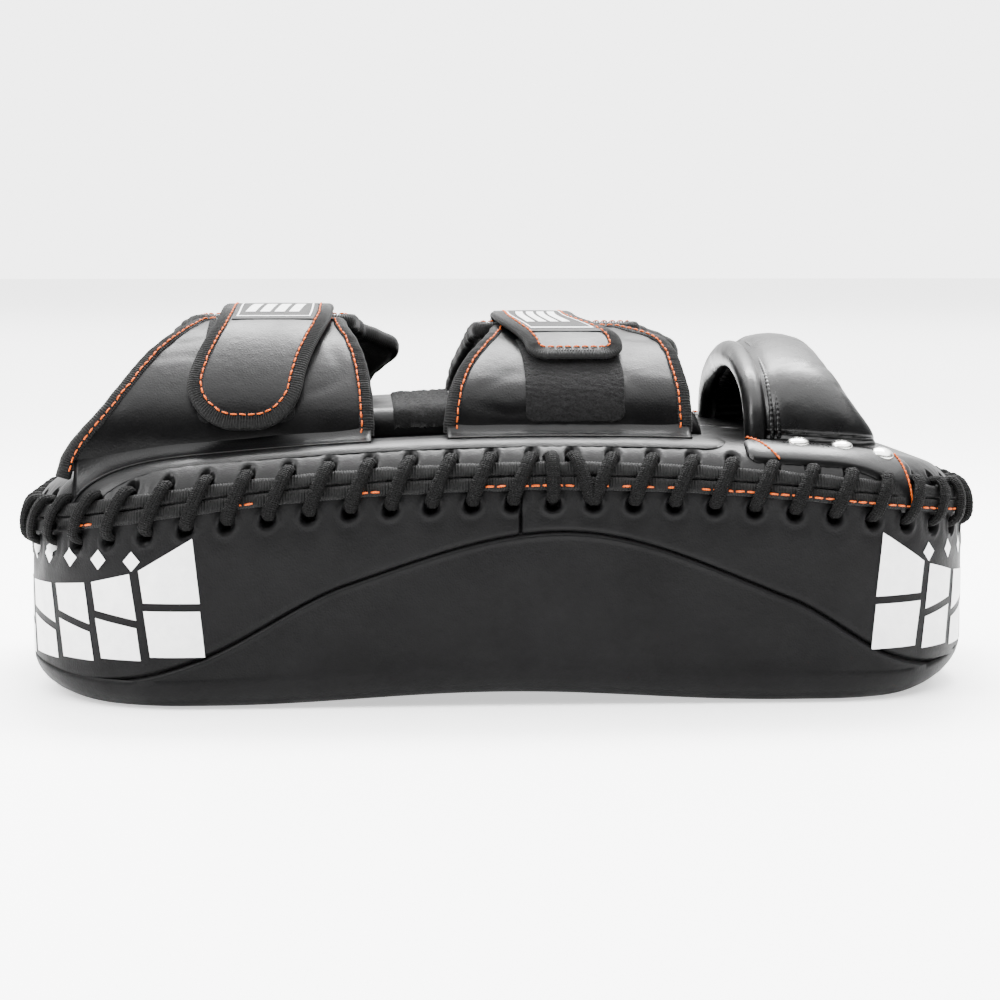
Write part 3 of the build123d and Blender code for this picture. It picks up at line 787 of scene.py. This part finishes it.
# ------------------------------------------------------------ cuffs
class Arch:
    """Crown arc, two tighter side arcs and legs; lengths are measured from the crown's middle."""

    def __init__(self, half_width, rise, side_radius, base_z):
        self.half_width, self.side_radius, self.base_z = half_width, side_radius, base_z
        self.spread = half_width - side_radius
        self.drop = (self.spread**2 - (rise - side_radius) ** 2) / (2 * (rise - side_radius))
        self.crown_radius = rise + self.drop
        self.join = math.acos(self.spread / (self.crown_radius - side_radius))
        self.crown_run = self.crown_radius * (PI / 2 - self.join)
        self.side_run = side_radius * self.join

    def place(self, x, run, side, grow=0.0):
        """Point at a length from the crown's middle, and the outward normal there."""
        if run < 0:
            run, side = -run, -side
        if run <= self.crown_run:
            lean = run / self.crown_radius
            y = self.crown_radius * math.sin(lean)
            z = self.base_z - self.drop + self.crown_radius * math.cos(lean)
        elif run <= self.crown_run + self.side_run:
            lean = PI / 2 - self.join + (run - self.crown_run) / self.side_radius
            y = self.spread + self.side_radius * math.sin(lean)
            z = self.base_z + self.side_radius * math.cos(lean)
        else:
            lean = PI / 2
            y, z = self.half_width, self.base_z - (run - self.crown_run - self.side_run)
        normal = Vector((0, side * math.sin(lean), math.cos(lean)))
        return Vector((x, side * y, z)) + normal * grow, normal

    def run_at(self, z):
        """Length from the crown's middle down to a height."""
        top = self.base_z - self.drop + self.crown_radius
        if z >= top:
            return 0.0
        if z >= self.base_z + self.side_radius * math.sin(self.join):
            return self.crown_radius * math.acos((z - self.base_z + self.drop) / self.crown_radius)
        if z >= self.base_z:
            lean = math.asin((z - self.base_z) / self.side_radius)
            return self.crown_run + self.side_radius * (self.join - lean)
        return self.crown_run + self.side_run + self.base_z - z


def edge_curve(arch, points):
    """Place along the pad of an edge given as (x, z) points from the top down, as a function of length."""
    knots = sorted((arch.run_at(z), x) for x, z in points)
    keys = [(run, x) for index, (run, x) in enumerate(knots) if not index or run > knots[index - 1][0] + 0.5]

    def at(run):
        if run <= keys[0][0]:
            return keys[0][1]
        if run >= keys[-1][0]:
            return keys[-1][1]
        return through(keys, run)
    return at


class Sheet:
    """A flap or strap on an arch: two edges, a top and a bottom, with rounded corners at one end."""

    def __init__(self, arch, side, left, right, top, bottom, corner, corner_at_top, tail=None):
        self.arch, self.side = arch, side
        self.left_line, self.right_line = edge_curve(arch, left), edge_curve(arch, right)
        self.top, self.bottom, self.corner, self.corner_at_top = top, bottom, corner, corner_at_top
        self.wave = tail

    def edges(self, run, inset=0.0):
        """Left and right edges at a length, drawn in by an inset."""
        near = (run - self.top if self.corner_at_top else self.bottom - run) - inset
        radius = max(self.corner - inset, 0.5)
        draw = radius - math.sqrt(radius**2 - (radius - clamp(near, 0, radius)) ** 2)
        ragged = self.wave * noise_at(run / 5, self.side, 2.0) if self.wave else 0
        return self.left_line(run) + inset + draw - ragged, self.right_line(run) - inset - draw + ragged

    def floor(self, x):
        """The length at which a flap meets the pad."""
        if self.bottom is None:
            return self.arch.run_at(back_edge(x)[0] + 2.3)
        return self.bottom

    def spot(self, across, down, grow, inset=0.0):
        """Point and normal at shares of the way across and down."""
        x = 0.5 * (self.left_line(60) + self.right_line(60))
        top = self.top + (inset if self.corner_at_top else 0)
        for _ in range(3):
            bottom = self.floor(x) - (0 if self.corner_at_top else inset)
            run = mix(top, bottom, down)
            low, high = self.edges(run, inset)
            x = mix(low, high, across)
        return self.arch.place(x, run, self.side, grow)

    def outline(self, inset, count=260):
        """Border from one base corner round the rounded end to the other, as (x, run) pairs."""
        line = []
        top = self.top + inset if self.corner_at_top else self.top
        for across in (0, 1):
            part = []
            for index in range(count):
                share = index / (count - 1)
                share = share**2 if self.corner_at_top else 1 - (1 - share) ** 2
                x = self.left_line(60) if across == 0 else self.right_line(60)
                for _ in range(3):
                    bottom = self.floor(x) - (0 if self.corner_at_top else inset)
                    run = mix(top, bottom, share)
                    x = self.edges(run, inset)[across]
                part.append((x, run))
            line.append(part)
        if self.corner_at_top:
            return even(list(reversed(line[0])) + line[1], 0.3)
        return even(line[0] + list(reversed(line[1])), 0.3)


def even(line, step):
    """The same flat line, with points an equal step apart."""
    made, carry = [Vector(line[0])], 0.0
    for a, b in zip(line, line[1:]):
        a, b = Vector(a), Vector(b)
        length = (b - a).length
        while length and carry + step <= length:
            carry += step
            made.append(a.lerp(b, carry / length))
        carry -= length
    return made


def padded_sheet(name, sheet, outside, inside, body, slot, nodes, bulge=0.3, thin=1.4, across=60,
                 down=70, inset=3.2):
    """Closed sheet with leather outside and lining inside, thinner towards its border."""
    rows = []
    for layer in (0, 1):
        order = range(down + 1) if layer == 0 else range(down, -1, -1)
        for j in order:
            row = []
            for i in range(across + 1):
                u, v = i / across, j / down
                top_gap = v if sheet.corner_at_top else 1 - v
                border = min(u, 1 - u, 1.3 * top_gap)
                soft = math.sqrt(1 - (1 - clamp(border / 0.16)) ** 2)
                point, normal = sheet.spot(u, v, 0, inset)
                noise_lift = 0.35 * ripple(point.x, point.y, point.z, 24, 3.0) * soft
                crease = -0.35 * bump_at(ripple(point.x * 0.6, point.y, point.z, 30, 8.0), 0.09) * soft
                if layer == 0:
                    lift = outside - 0.8 * (1 - soft) + bulge * soft + noise_lift + crease
                    row.append(point + normal * lift)
                else:
                    row.append(point + normal * (inside + thin * (1 - soft) + 0.5 * noise_lift))
            rows.append(row)
    made = grid_piece(name, rows, body, slot, flap_leather, nodes, wrap_rows=True)
    made.data.materials.append(lining_cloth)
    for polygon in made.data.polygons:
        centre, normal = polygon.center / MM, polygon.normal
        _, up = sheet.arch.place(centre.x, near_run(sheet, centre), sheet.side)
        if normal.dot(up) < -0.2:
            polygon.material_index = 1
    return made


def near_run(sheet, point):
    """Length along the arch nearest to a point."""
    arch = sheet.arch
    y, z = point.y * sheet.side, point.z
    if z <= arch.base_z:
        return arch.crown_run + arch.side_run + arch.base_z - z
    lean = math.atan2(y, z - arch.base_z + arch.drop)
    if abs(lean) < PI / 2 - arch.join:
        return lean * arch.crown_radius
    lean = math.atan2(y - arch.spread, z - arch.base_z)
    return arch.crown_run + arch.side_radius * (lean - PI / 2 + arch.join)


def edge_tape(name, sheet, width, outside, inside, body, slot, nodes=()):
    """Ribbed tape folded over a sheet's border."""
    line = sheet.outline(0)
    rows = []
    for index, spot in enumerate(line):
        ahead, behind = line[min(index + 1, len(line) - 1)], line[max(index - 1, 0)]
        heading = (ahead - behind).normalized()
        turn = -1 if sheet.corner_at_top else 1
        inward = turn * Vector((heading.y, -heading.x))
        rib = 0.26 * math.cos(2 * PI * index / 4)
        middle = 0.5 * (outside + inside)
        half = 0.5 * (outside - inside)
        row = []
        for depth, level in ((width, 0.9), (width - 0.4, 1.02), (width * 0.5, 1.06), (1.2, 1.0), (0.2, 0.72),
                             (-0.3, 0.25), (-0.3, -0.25), (0.2, -0.72), (1.2, -1.0), (width * 0.5, -1.06),
                             (width - 0.4, -1.02), (width, -0.9)):
            flat = spot + inward * (depth + (0.25 * noise_at(index / 20, 1, width) if depth > 2 else 0))
            grow = middle + (half + rib) * level
            row.append(sheet.arch.place(flat.x, flat.y, sheet.side, grow)[0])
        rows.append(row)
    return grid_piece(name, rows, body, slot, tape_cloth, nodes, wrap_columns=True)


def border_thread(name, sheet, inset, grow, body, slot, wander=0.35):
    line = []
    for index, spot in enumerate(sheet.outline(inset)):
        shift = wander * noise_at(index / 24, inset, 4.0)
        line.append(sheet.arch.place(spot.x + shift, spot.y, sheet.side, grow))
    return dashes(name, line, body, slot, thread, 3.6, 2.6, 0.36, 0.3)


def sheet_grid(name, sheet, grow, inset, body, slot, surface, nodes=(), across=40, down=90, thickness=0.0,
               pile=0.0, crown=0.0):
    """Single surface over a sheet, optionally fuzzy or slightly crowned."""
    rows = []
    for j in range(down + 1):
        row = []
        for i in range(across + 1):
            u, v = i / across, j / down
            point, normal = sheet.spot(u, v, grow, inset)
            lift = crown * math.sin(PI * u) ** 0.6
            if pile:
                lift += pile * (noise.noise(point * 0.6) + 0.8 * noise.noise(point * 1.5))
            row.append(point + normal * lift)
        rows.append(row)
    return grid_piece(name, rows, body, slot, surface, nodes, thickness=thickness)


def label_mark(name, sheet, corners, grow, body, surface, count=10):
    """Flat woven mark on a sheet: a four-sided shape given in shares across and down."""
    rows = []
    for j in range(count + 1):
        row = []
        for i in range(count + 1):
            row.append(sheet.spot(*between_corners(corners, i / count, j / count), grow)[0])
        rows.append(row)
    return grid_piece(name, rows, body, "woven_label", surface)


woven_dark = cloth("woven_dark", grey(0.003), grey(0.008), 0.55, 1600, 0.0001)
woven_white = cloth("woven_white", grey(0.42), grey(0.8), 0.5, 1600, 0.0001)

cuffs = (
    {"letter": "a", "arch": (72, 52, 34, 104),
     "near_left": [(-131, 156), (-132, 154.6), (-149, 143), (-165, 123), (-181, 103), (-185, 92)],
     "near_right": [(-66, 156), (-65.5, 153), (-61, 147), (-57, 136), (-55, 120), (-55, 96)],
     "far_left": [(-131, 156), (-149, 144), (-165, 123), (-181, 103), (-185, 92)],
     "far_right": [(-62, 156), (-58, 152), (-42.5, 143), (-55, 128), (-55, 96)],
     "strap_left": [(-119, 156), (-121, 151), (-130.5, 130), (-131, 111)],
     "strap_right": [(-72, 156), (-73, 152), (-83.5, 130), (-84, 111)],
     "end": 111, "end_radius": 20, "anchor": (-119, -72),
     "loop_left": [(-124, 156), (-127, 113)], "loop_right": [(-76, 156), (-88, 113)], "loop": (154, 114),
     "label": (0.02, 0.40), "fold_x": -100, "hinge_x": -120},
    {"letter": "b", "arch": (72, 42.5, 28, 110),
     "near_left": [(-3, 152), (-6, 149), (-20, 135), (-25, 119), (-26, 96)],
     "near_right": [(54, 152), (58, 151), (71, 147), (76, 132), (77, 120), (77, 96)],
     "far_left": [(-11, 152), (-13, 146), (-20, 122), (-20, 96)],
     "far_right": [(64, 152), (69, 150), (87, 141), (80, 127), (79, 96)],
     "strap_left": [(-2, 152.5), (-1, 151), (9, 143), (10, 137)],
     "strap_right": [(33, 152.5), (35, 151), (49, 145), (50, 137)],
     "end": 137, "end_radius": 8, "anchor": (-2, 33),
     "loop_left": [(2, 152), (8, 140), (8, 113)], "loop_right": [(30, 152), (48, 140), (49, 113)],
     "loop": (146, 114),
     "label": (0.02, 0.72), "fold_x": 20, "hinge_x": 20},
)
tab_low, tab_high = 2.5, 4.9
strap_top = -9.8
flap_depth = 8.6
flap_foot_y = 72.2
label_margin = 0.06

# The base folds' outer line and the band they turn over, each set kept because it cut least into the back
fold_shapes = {"near": (79.5, 1.3, 78.5, 0), "far": (80, 0.9, 79, 5)}

for cuff in cuffs:
    letter, arch = cuff["letter"], Arch(*cuff["arch"])
    for half, side, top in (("near", -1, 10), ("far", 1, -4)):
        body = f"{half}_flap_{letter}"
        sheet = Sheet(arch, side, cuff[half + "_left"], cuff[half + "_right"], top, None, 7, True,
                      0.8 if half == "far" else 0.3)
        padded_sheet(f"{body}_pad", sheet, 0, -flap_depth, body, "flap_leather",
                     [f"{body}_leather", f"{body}_foam", f"{body}_lining"])
        edge_tape(f"{body}_tape", sheet, 5.8, 0.25, -6.6, body, "binding_tape", [f"{body}_binding"])
        border_thread(f"{body}_thread", sheet, 5.0, 0.75, body, "binding_tape")

        fold_foot, fold_lift, fold_start, fold_rise = fold_shapes[half]
        fold_edges = sheet.edges(sheet.floor(cuff["fold_x"]) - 2, 1.0)
        rows = []
        for j in range(13):
            t = j / 12
            row = []
            for i in range(61):
                x = mix(*fold_edges, i / 60)
                ground = back_point(x, side * fold_foot, fold_lift)
                foot, _ = arch.place(x, sheet.floor(x) - 9, side, -1.6)
                corner = Vector((x, side * flap_foot_y, back_edge(x)[0] + 1.8))
                row.append(ground.lerp(corner, t).lerp(corner.lerp(foot, t), t))
            rows.append(row)
        fold = grid_piece(f"{body}_base_fold", rows, body, "flap_leather", flap_leather, thickness=0.8)
        fold.parent = None
        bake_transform(fold)

    low_x, high_x = cuff["anchor"]
    anchor = Sheet(arch, 1, [(low_x, 155), (low_x, 140)], [(high_x, 155), (high_x, 140)], 10.4, 36, 3, False)
    padded_sheet(f"strap_{letter}_sewn_end", anchor, 4.7, 0.3, f"far_flap_{letter}", "strap_leather",
                 [f"strap_{letter}_anchor"], bulge=0.15, thin=0.6, across=34, down=22, inset=0.6)
    border_thread(f"strap_{letter}_sewn_thread", anchor, 3.0, 4.95, f"far_flap_{letter}",
                  "strap_leather", 0.2)

    near = Sheet(arch, -1, cuff["loop_left"], cuff["loop_right"], arch.run_at(cuff["loop"][0]),
                 arch.run_at(cuff["loop"][1]), 4, False)
    sheet_grid(f"loop_pile_{letter}", near, 0.75, 0, f"near_flap_{letter}", "loop_pile", loop_cloth,
               [f"loop_patch_{letter}"], pile=0.35, thickness=0.8)

    body = f"strap_{letter}"
    strap = Sheet(arch, -1, cuff["strap_left"], cuff["strap_right"], strap_top, arch.run_at(cuff["end"]),
                  cuff["end_radius"], False)
    sheet_grid(f"{body}_skin", strap, tab_high - 0.2, 2.6, body, "strap_leather", flap_leather,
               [f"{body}_tab"], thickness=2.0, crown=0.35)
    edge_tape(f"{body}_tape", strap, 6.0, tab_high + 0.1, tab_low - 0.5, body, "binding_tape",
              [f"{body}_binding"])
    border_thread(f"{body}_thread", strap, 5.2, tab_high + 0.45, body, "binding_tape", 0.3)
    label_low, label_high = cuff["label"]
    label_start = label_low + label_margin
    shapes = [("field", [(0.13, label_start), (0.87, label_start), (0.87, label_high), (0.13, label_high)],
               5.35, woven_dark)]
    depth = label_high - label_low - label_margin
    for number, (x0, x1, y0, y1, lean) in enumerate((
            (0.17, 0.83, 0.06, 0.085, 0), (0.17, 0.83, 0.90, 0.925, 0), (0.17, 0.185, 0.06, 0.925, 0),
            (0.815, 0.83, 0.06, 0.925, 0), (0.23, 0.32, 0.25, 0.75, 0.05), (0.36, 0.45, 0.25, 0.75, 0.05),
            (0.49, 0.58, 0.25, 0.75, 0.05), (0.62, 0.71, 0.25, 0.75, 0.05))):
        y0, y1 = (label_start + depth * y for y in (y0, y1))
        shapes.append((f"mark_{number}", [(x0 + lean, y0), (x1 + lean, y0), (x1, y1), (x0, y1)],
                       5.5, woven_white))
    marks = [label_mark(f"{body}_label_{name}", strap, corners, grow, body, surface)
             for name, corners, grow, surface in shapes]
    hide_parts(f"{body}_label")

    rows = []
    for j in range(25):
        run = mix(-20, 2, j / 24)
        row = []
        for i in range(31):
            x = mix(cuff["anchor"][0] + 1.2, cuff["anchor"][1] - 1.2, i / 30)
            lift = 5.15 + 0.25 * math.sin(PI * i / 30) + 0.5 * bump_at(run + 9, 4)
            row.append(arch.place(x, run, -1, lift)[0])
        rows.append(row)
    fold = grid_piece(f"{body}_fold", rows, body, "strap_leather", flap_leather, thickness=0.9)
    fold.parent = None
    top_z = arch.place(0, 10, 1, 5)[0].z
    x = sum(cuff["anchor"]) / 2
    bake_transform(fold)


# ------------------------------------------------------------ hand grip
grip = Arch(76, 44, 36, 104)
grip_foot = grip.run_at(100)
grip_left = 104
flange_x = (97, 167)
rivet_x = (120, 138, 155)
rivet_y = 80
flange_lift = 1.7


def grip_right(run):
    """Far edge of the grip along the pad: wide at its feet, narrower over the top."""
    z = grip.place(0, run, 1)[0].z
    return through(((95, 156), (104, 155.5), (112, 153.5), (125, 147), (140, 141), (148, 139), (150, 139)), z)


profile = ((0.05, -7.0), (0.10, -5.2), (0.14, -4.2), (0.185, -3.0), (0.27, -1.2), (0.40, -0.15),
           (0.52, 0.1), (0.66, -0.3), (0.80, -1.6), (0.90, -3.8), (0.97, -6.8), (1.0, -10), (0.98, -12.8),
           (0.92, -14.8), (0.80, -16.2), (0.6, -16.8), (0.35, -16.7), (0.15, -15.6), (0.05, -13.2),
           (0.01, -10.5))
profile_line = smooth_line([Vector((u, g, 0)) for u, g in profile + profile[:1]], 0.9)[:-1]
sections = 200
rows = []
for j in range(sections + 1):
    signed = mix(-grip_foot, grip_foot, j / sections)
    side = -1 if signed < 0 else 1
    run = abs(signed)
    right = grip_right(run)
    row = []
    for spot in profile_line:
        x = mix(grip_left, right, spot.x)
        inner = smooth_step((-spot.y - 9) / 5)
        outer = 1 - inner
        lift = 0.3 * ripple(x, signed, 0, 26, 5.0) * outer
        lift -= 0.5 * bump_at(ripple(x * 0.7, signed, 4, 22, 15.0), 0.08) * outer
        lift += 0.9 * inner * math.cos(2 * PI * signed / 6.5 + 9 * spot.x) * bump_at(spot.x - 0.4, 0.3)
        seam_run = run - grip_foot + 9.5 - 3.5 * spot.x
        lift += outer * (0.5 * bump_at(seam_run - 2.4, 1.6) - 1.5 * bump_at(seam_run, 0.9))
        row.append(grip.place(x, run, side, spot.y + lift)[0])
    rows.append(row)
handle = grid_piece("hand_grip", rows, "pad", "grip_leather", grip_leather,
                    ["handle_core", "handle_cover", "handle_lining"], wrap_columns=True)

rows = []
for j in range(sections + 1):
    signed = mix(-grip_foot, grip_foot, j / sections)
    side = -1 if signed < 0 else 1
    centre, normal = grip.place(104.8, abs(signed), side, -9.4)
    row = []
    for i in range(20):
        angle = 2 * PI * i / 20
        size = 5.0 + 0.12 * noise_at(signed / 14, angle, 1)
        row.append(centre + Vector((-size * math.cos(angle), 0, 0)) + normal * 1.2 * size * math.sin(angle))
    rows.append(row)
roll = grid_piece("grip_roll", rows, "pad", "grip_leather", grip_leather, ["handle_rim_roll"],
                  wrap_columns=True)

for number, (x, grow) in enumerate(((110.6, -4.2), (113.2, -3.2))):
    rows = []
    for j in range(2 * sections + 1):
        signed = mix(-grip_foot, grip_foot, j / (2 * sections))
        centre, normal = grip.place(x, abs(signed), -1 if signed < 0 else 1, grow)
        size = 0.9 + 0.1 * math.cos(2 * PI * signed / 2.6)
        rows.append([centre + Vector((size * math.cos(2 * PI * i / 10), 0, 0))
                     + normal * size * math.sin(2 * PI * i / 10) for i in range(10)])
    cord = grid_piece(f"grip_piping_{number}", rows, "pad", "grip_leather", grip_leather, wrap_columns=True)
    if number == 0:
        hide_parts("handle_piping")

for name, low, high in (("near", -93, -76.5), ("far", 76.5, 93)):
    patch(f"grip_flange_{name}", flange_x, (low, high), flange_lift, "grip_leather", grip_leather,
          [f"handle_flange_{name}"], corner=5, edge=3.5, cell=0.9)
    side = -1 if low < 0 else 1
    for end, (x0, x1) in (("left", (98.5, 110)), ("right", (160, 165))):
        line = [(back_point(mix(x0, x1, t / 30), side * mix(76, 92.5, t / 30), 1.75),
                 Vector((0, side * 0.5, 0.85))) for t in range(31)]
        dashes(f"flange_thread_{name}_{end}", line, "pad", "grip_leather", thread, 2.2, 2.0, 0.42, 0.3)

metal, metal_nodes, metal_links, metal_shader, metal_place = material(
    "rivet_metal", (0.62, 0.62, 0.6), 0.25, 1.0)
scratch = noise_node(metal_nodes, metal_links, metal_place.outputs["Object"], 700, 3)
metal_links.new(ramp(metal_nodes, metal_links, scratch, ((0.3, grey(0.16)), (0.7, grey(0.34)))),
                metal_shader.inputs["Roughness"])
points, faces = [], []
for side in (-1, 1):
    for x in rivet_x:
        base = back_point(x, side * rivet_y, flange_lift)
        up = (back_point(x, side * rivet_y, 5) - base).normalized()
        right = (Vector((1, 0, 0)) - up * up.x).normalized()
        other = up.cross(right)
        start = len(points)
        shape = ((4.5, -0.6), (4.5, 0.15), (4.25, 0.6), (3.6, 1.1), (2.6, 1.55), (1.4, 1.8), (0.5, 1.88))
        for radius, rise in shape:
            for i in range(28):
                angle = 2 * PI * i / 28
                points.append(base + right * radius * math.cos(angle) + other * radius * math.sin(angle)
                              + up * rise)
        faces += [tuple(start + index for index in face) for face in grid_faces(len(shape), 28, False, True)]
        faces.append(tuple(start + (len(shape) - 1) * 28 + i for i in range(28)))
piece("rivet_heads", points, faces, "pad", "dark_rivet", metal, ["handle_rivets"])


# ------------------------------------------------------------ plain printed blocks on the side panels
def print_shape(name, corners, count=26):
    """Thin white print on the rim from four corners given as (run, height)."""
    rows = []
    for j in range(count + 1):
        row = []
        for i in range(count + 1):
            run, height = between_corners(corners, i / count, j / count)
            row.append(wall(run, height, leather_lift(run, height) + pulled(run, height) + 0.28)[0])
        rows.append(row)
    return grid_piece(name, rows, "pad", "panel_leather", print_white)


diamond_z = 60.5


def print_band(name, start, way):
    """Row of leaning bars under a row of small diamonds, running one way along the rim."""
    def top(place):
        return 47 + 23 * math.exp(-place / 26)

    place = 0.0
    for number, (width, gap) in enumerate(((22, 4), (18, 4), (18, 4), (22, 4), (18, 4))):
        near, far = start + way * place, start + way * (place + width)
        low = 22 - 0.06 * place
        lean = way * 4.5
        split_near, split_far = mix(low, top(place), 0.42), mix(low, top(place + width), 0.58)
        low_part = ((near - lean, low), (far - lean, low), (far - 0.4 * lean, split_far - 1.6),
                    (near - 0.6 * lean, split_near - 1.6))
        high_part = ((near - 0.6 * lean, split_near + 1.6), (far - 0.4 * lean, split_far + 1.6),
                     (far, top(place + width)), (near, top(place)))
        for part, corners in (("low", low_part), ("high", high_part)):
            print_shape(f"{name}_block_{number}_{part}", corners)
        place += width + gap
    for number in range(5):
        run = start + way * (25 + 15.5 * number)
        print_shape(f"{name}_diamond_{number}",
                    ((run, diamond_z - 4), (run + way * 3.6, diamond_z), (run, diamond_z + 4),
                     (run - way * 3.6, diamond_z)), 8)


near_left, near_right = 2.5, 2 * corner_x + 22.7
half_rim = rim_length / 2
for name, start, way in (("print_near_left", near_left, -1), ("print_near_right", near_right, 1),
                         ("print_far_right", near_left + half_rim, -1),
                         ("print_far_left", near_right + half_rim, 1)):
    print_band(name, start, way)

foam_grain = cloth("foam_grain", grey(0.02), grey(0.05), 0.85, 700, 0.0005)
hook_cloth = cloth("hook_cloth", grey(0.002), grey(0.01), 0.7, 1800, 0.0004)
for node, finish in (("foam_face_layer", foam_grain), ("foam_core_layer", foam_grain),
                     ("foam_back_layer", foam_grain), ("handle_rivet_washers", metal),
                     ("strap_a_hook_patch", hook_cloth), ("strap_b_hook_patch", hook_cloth)):
    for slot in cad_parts[node].material_slots:
        slot.material = finish


# ------------------------------------------------------------ floor, light and camera
floor_mesh = bpy.data.meshes.new("floor")
floor_mesh.from_pydata([(-15, -15, 0), (15, -15, 0), (15, 15, 0), (-15, 15, 0)], [], [(0, 1, 2, 3)])
floor = bpy.data.objects.new("floor", floor_mesh)
bpy.context.collection.objects.link(floor)
floor_paint, _, _, floor_shader, _ = material("floor_paint", (0.97, 0.97, 0.97), 0.35, gloss=0.25)
floor_shader.inputs["Emission Color"].default_value = (1, 1, 1, 1)
floor_shader.inputs["Emission Strength"].default_value = 0.9
floor_mesh.materials.append(floor_paint)

world = bpy.data.worlds.new("studio")
bpy.context.scene.world = world
world.use_nodes = True
sky, sky_links = world.node_tree.nodes, world.node_tree.links
heading = sky.new("ShaderNodeTexCoord")
split = sky.new("ShaderNodeSeparateXYZ")
sky_links.new(heading.outputs["Generated"], split.inputs["Vector"])
glow = None
for axis, low, high, dim, bright in (("Z", 0.5, 0.98, 0.3, 5.5), ("Y", 0.3, 0.9, 0.0, 2.4)):
    step_node = sky.new("ShaderNodeMapRange")
    step_node.interpolation_type = "SMOOTHSTEP"
    for socket, value in (("From Min", low), ("From Max", high), ("To Min", dim), ("To Max", bright)):
        step_node.inputs[socket].default_value = value
    sky_links.new(split.outputs[axis], step_node.inputs["Value"])
    if glow is None:
        glow = step_node.outputs["Result"]
    else:
        total = sky.new("ShaderNodeMath")
        total.operation = "ADD"
        sky_links.new(glow, total.inputs[0])
        sky_links.new(step_node.outputs["Result"], total.inputs[1])
        glow = total.outputs[0]
sky_links.new(glow, sky["Background"].inputs["Strength"])
sky["Background"].inputs["Color"].default_value = (1, 1, 1, 1)
# The camera sees an evenly bright backdrop in place of the gradient that lights the pad
backdrop_light = sky.new("ShaderNodeBackground")
backdrop_light.inputs["Strength"].default_value = 5.8
seen = sky.new("ShaderNodeLightPath")
choose = sky.new("ShaderNodeMixShader")
sky_links.new(seen.outputs["Is Camera Ray"], choose.inputs[0])
sky_links.new(sky["Background"].outputs[0], choose.inputs[1])
sky_links.new(backdrop_light.outputs[0], choose.inputs[2])
sky_links.new(choose.outputs[0], sky["World Output"].inputs["Surface"])


def soft_light(name, place, target, size, power):
    data = bpy.data.lights.new(name, "AREA")
    data.shape = "RECTANGLE"
    data.size, data.size_y = size
    data.energy = power
    light = bpy.data.objects.new(name, data)
    light.location = place
    light.rotation_euler = (Vector(target) - Vector(place)).to_track_quat("-Z", "Y").to_euler()
    bpy.context.collection.objects.link(light)


soft_light("top_light", (0.1, 0.5, 1.0), (0, 0, 0.1), (0.9, 0.35), 55)
soft_light("side_light", (-0.9, -0.35, 0.8), (0, 0, 0.1), (0.3, 0.5), 16)
soft_light("floor_light", (0, 1.4, 2.6), (0, 1.4, 0), (6.5, 6.5), 620)

camera_place = (-0.0586, -0.9983, 0.1835)
camera_dip, camera_turn = 6.26, -3.45
camera_data = bpy.data.cameras.new("camera")
camera_data.sensor_width = 36
camera_data.lens = 81.2
camera = bpy.data.objects.new("camera", camera_data)
camera.location = camera_place
camera.rotation_euler = (math.radians(90 - camera_dip), 0, math.radians(camera_turn))
bpy.context.collection.objects.link(camera)
bpy.context.scene.camera = camera
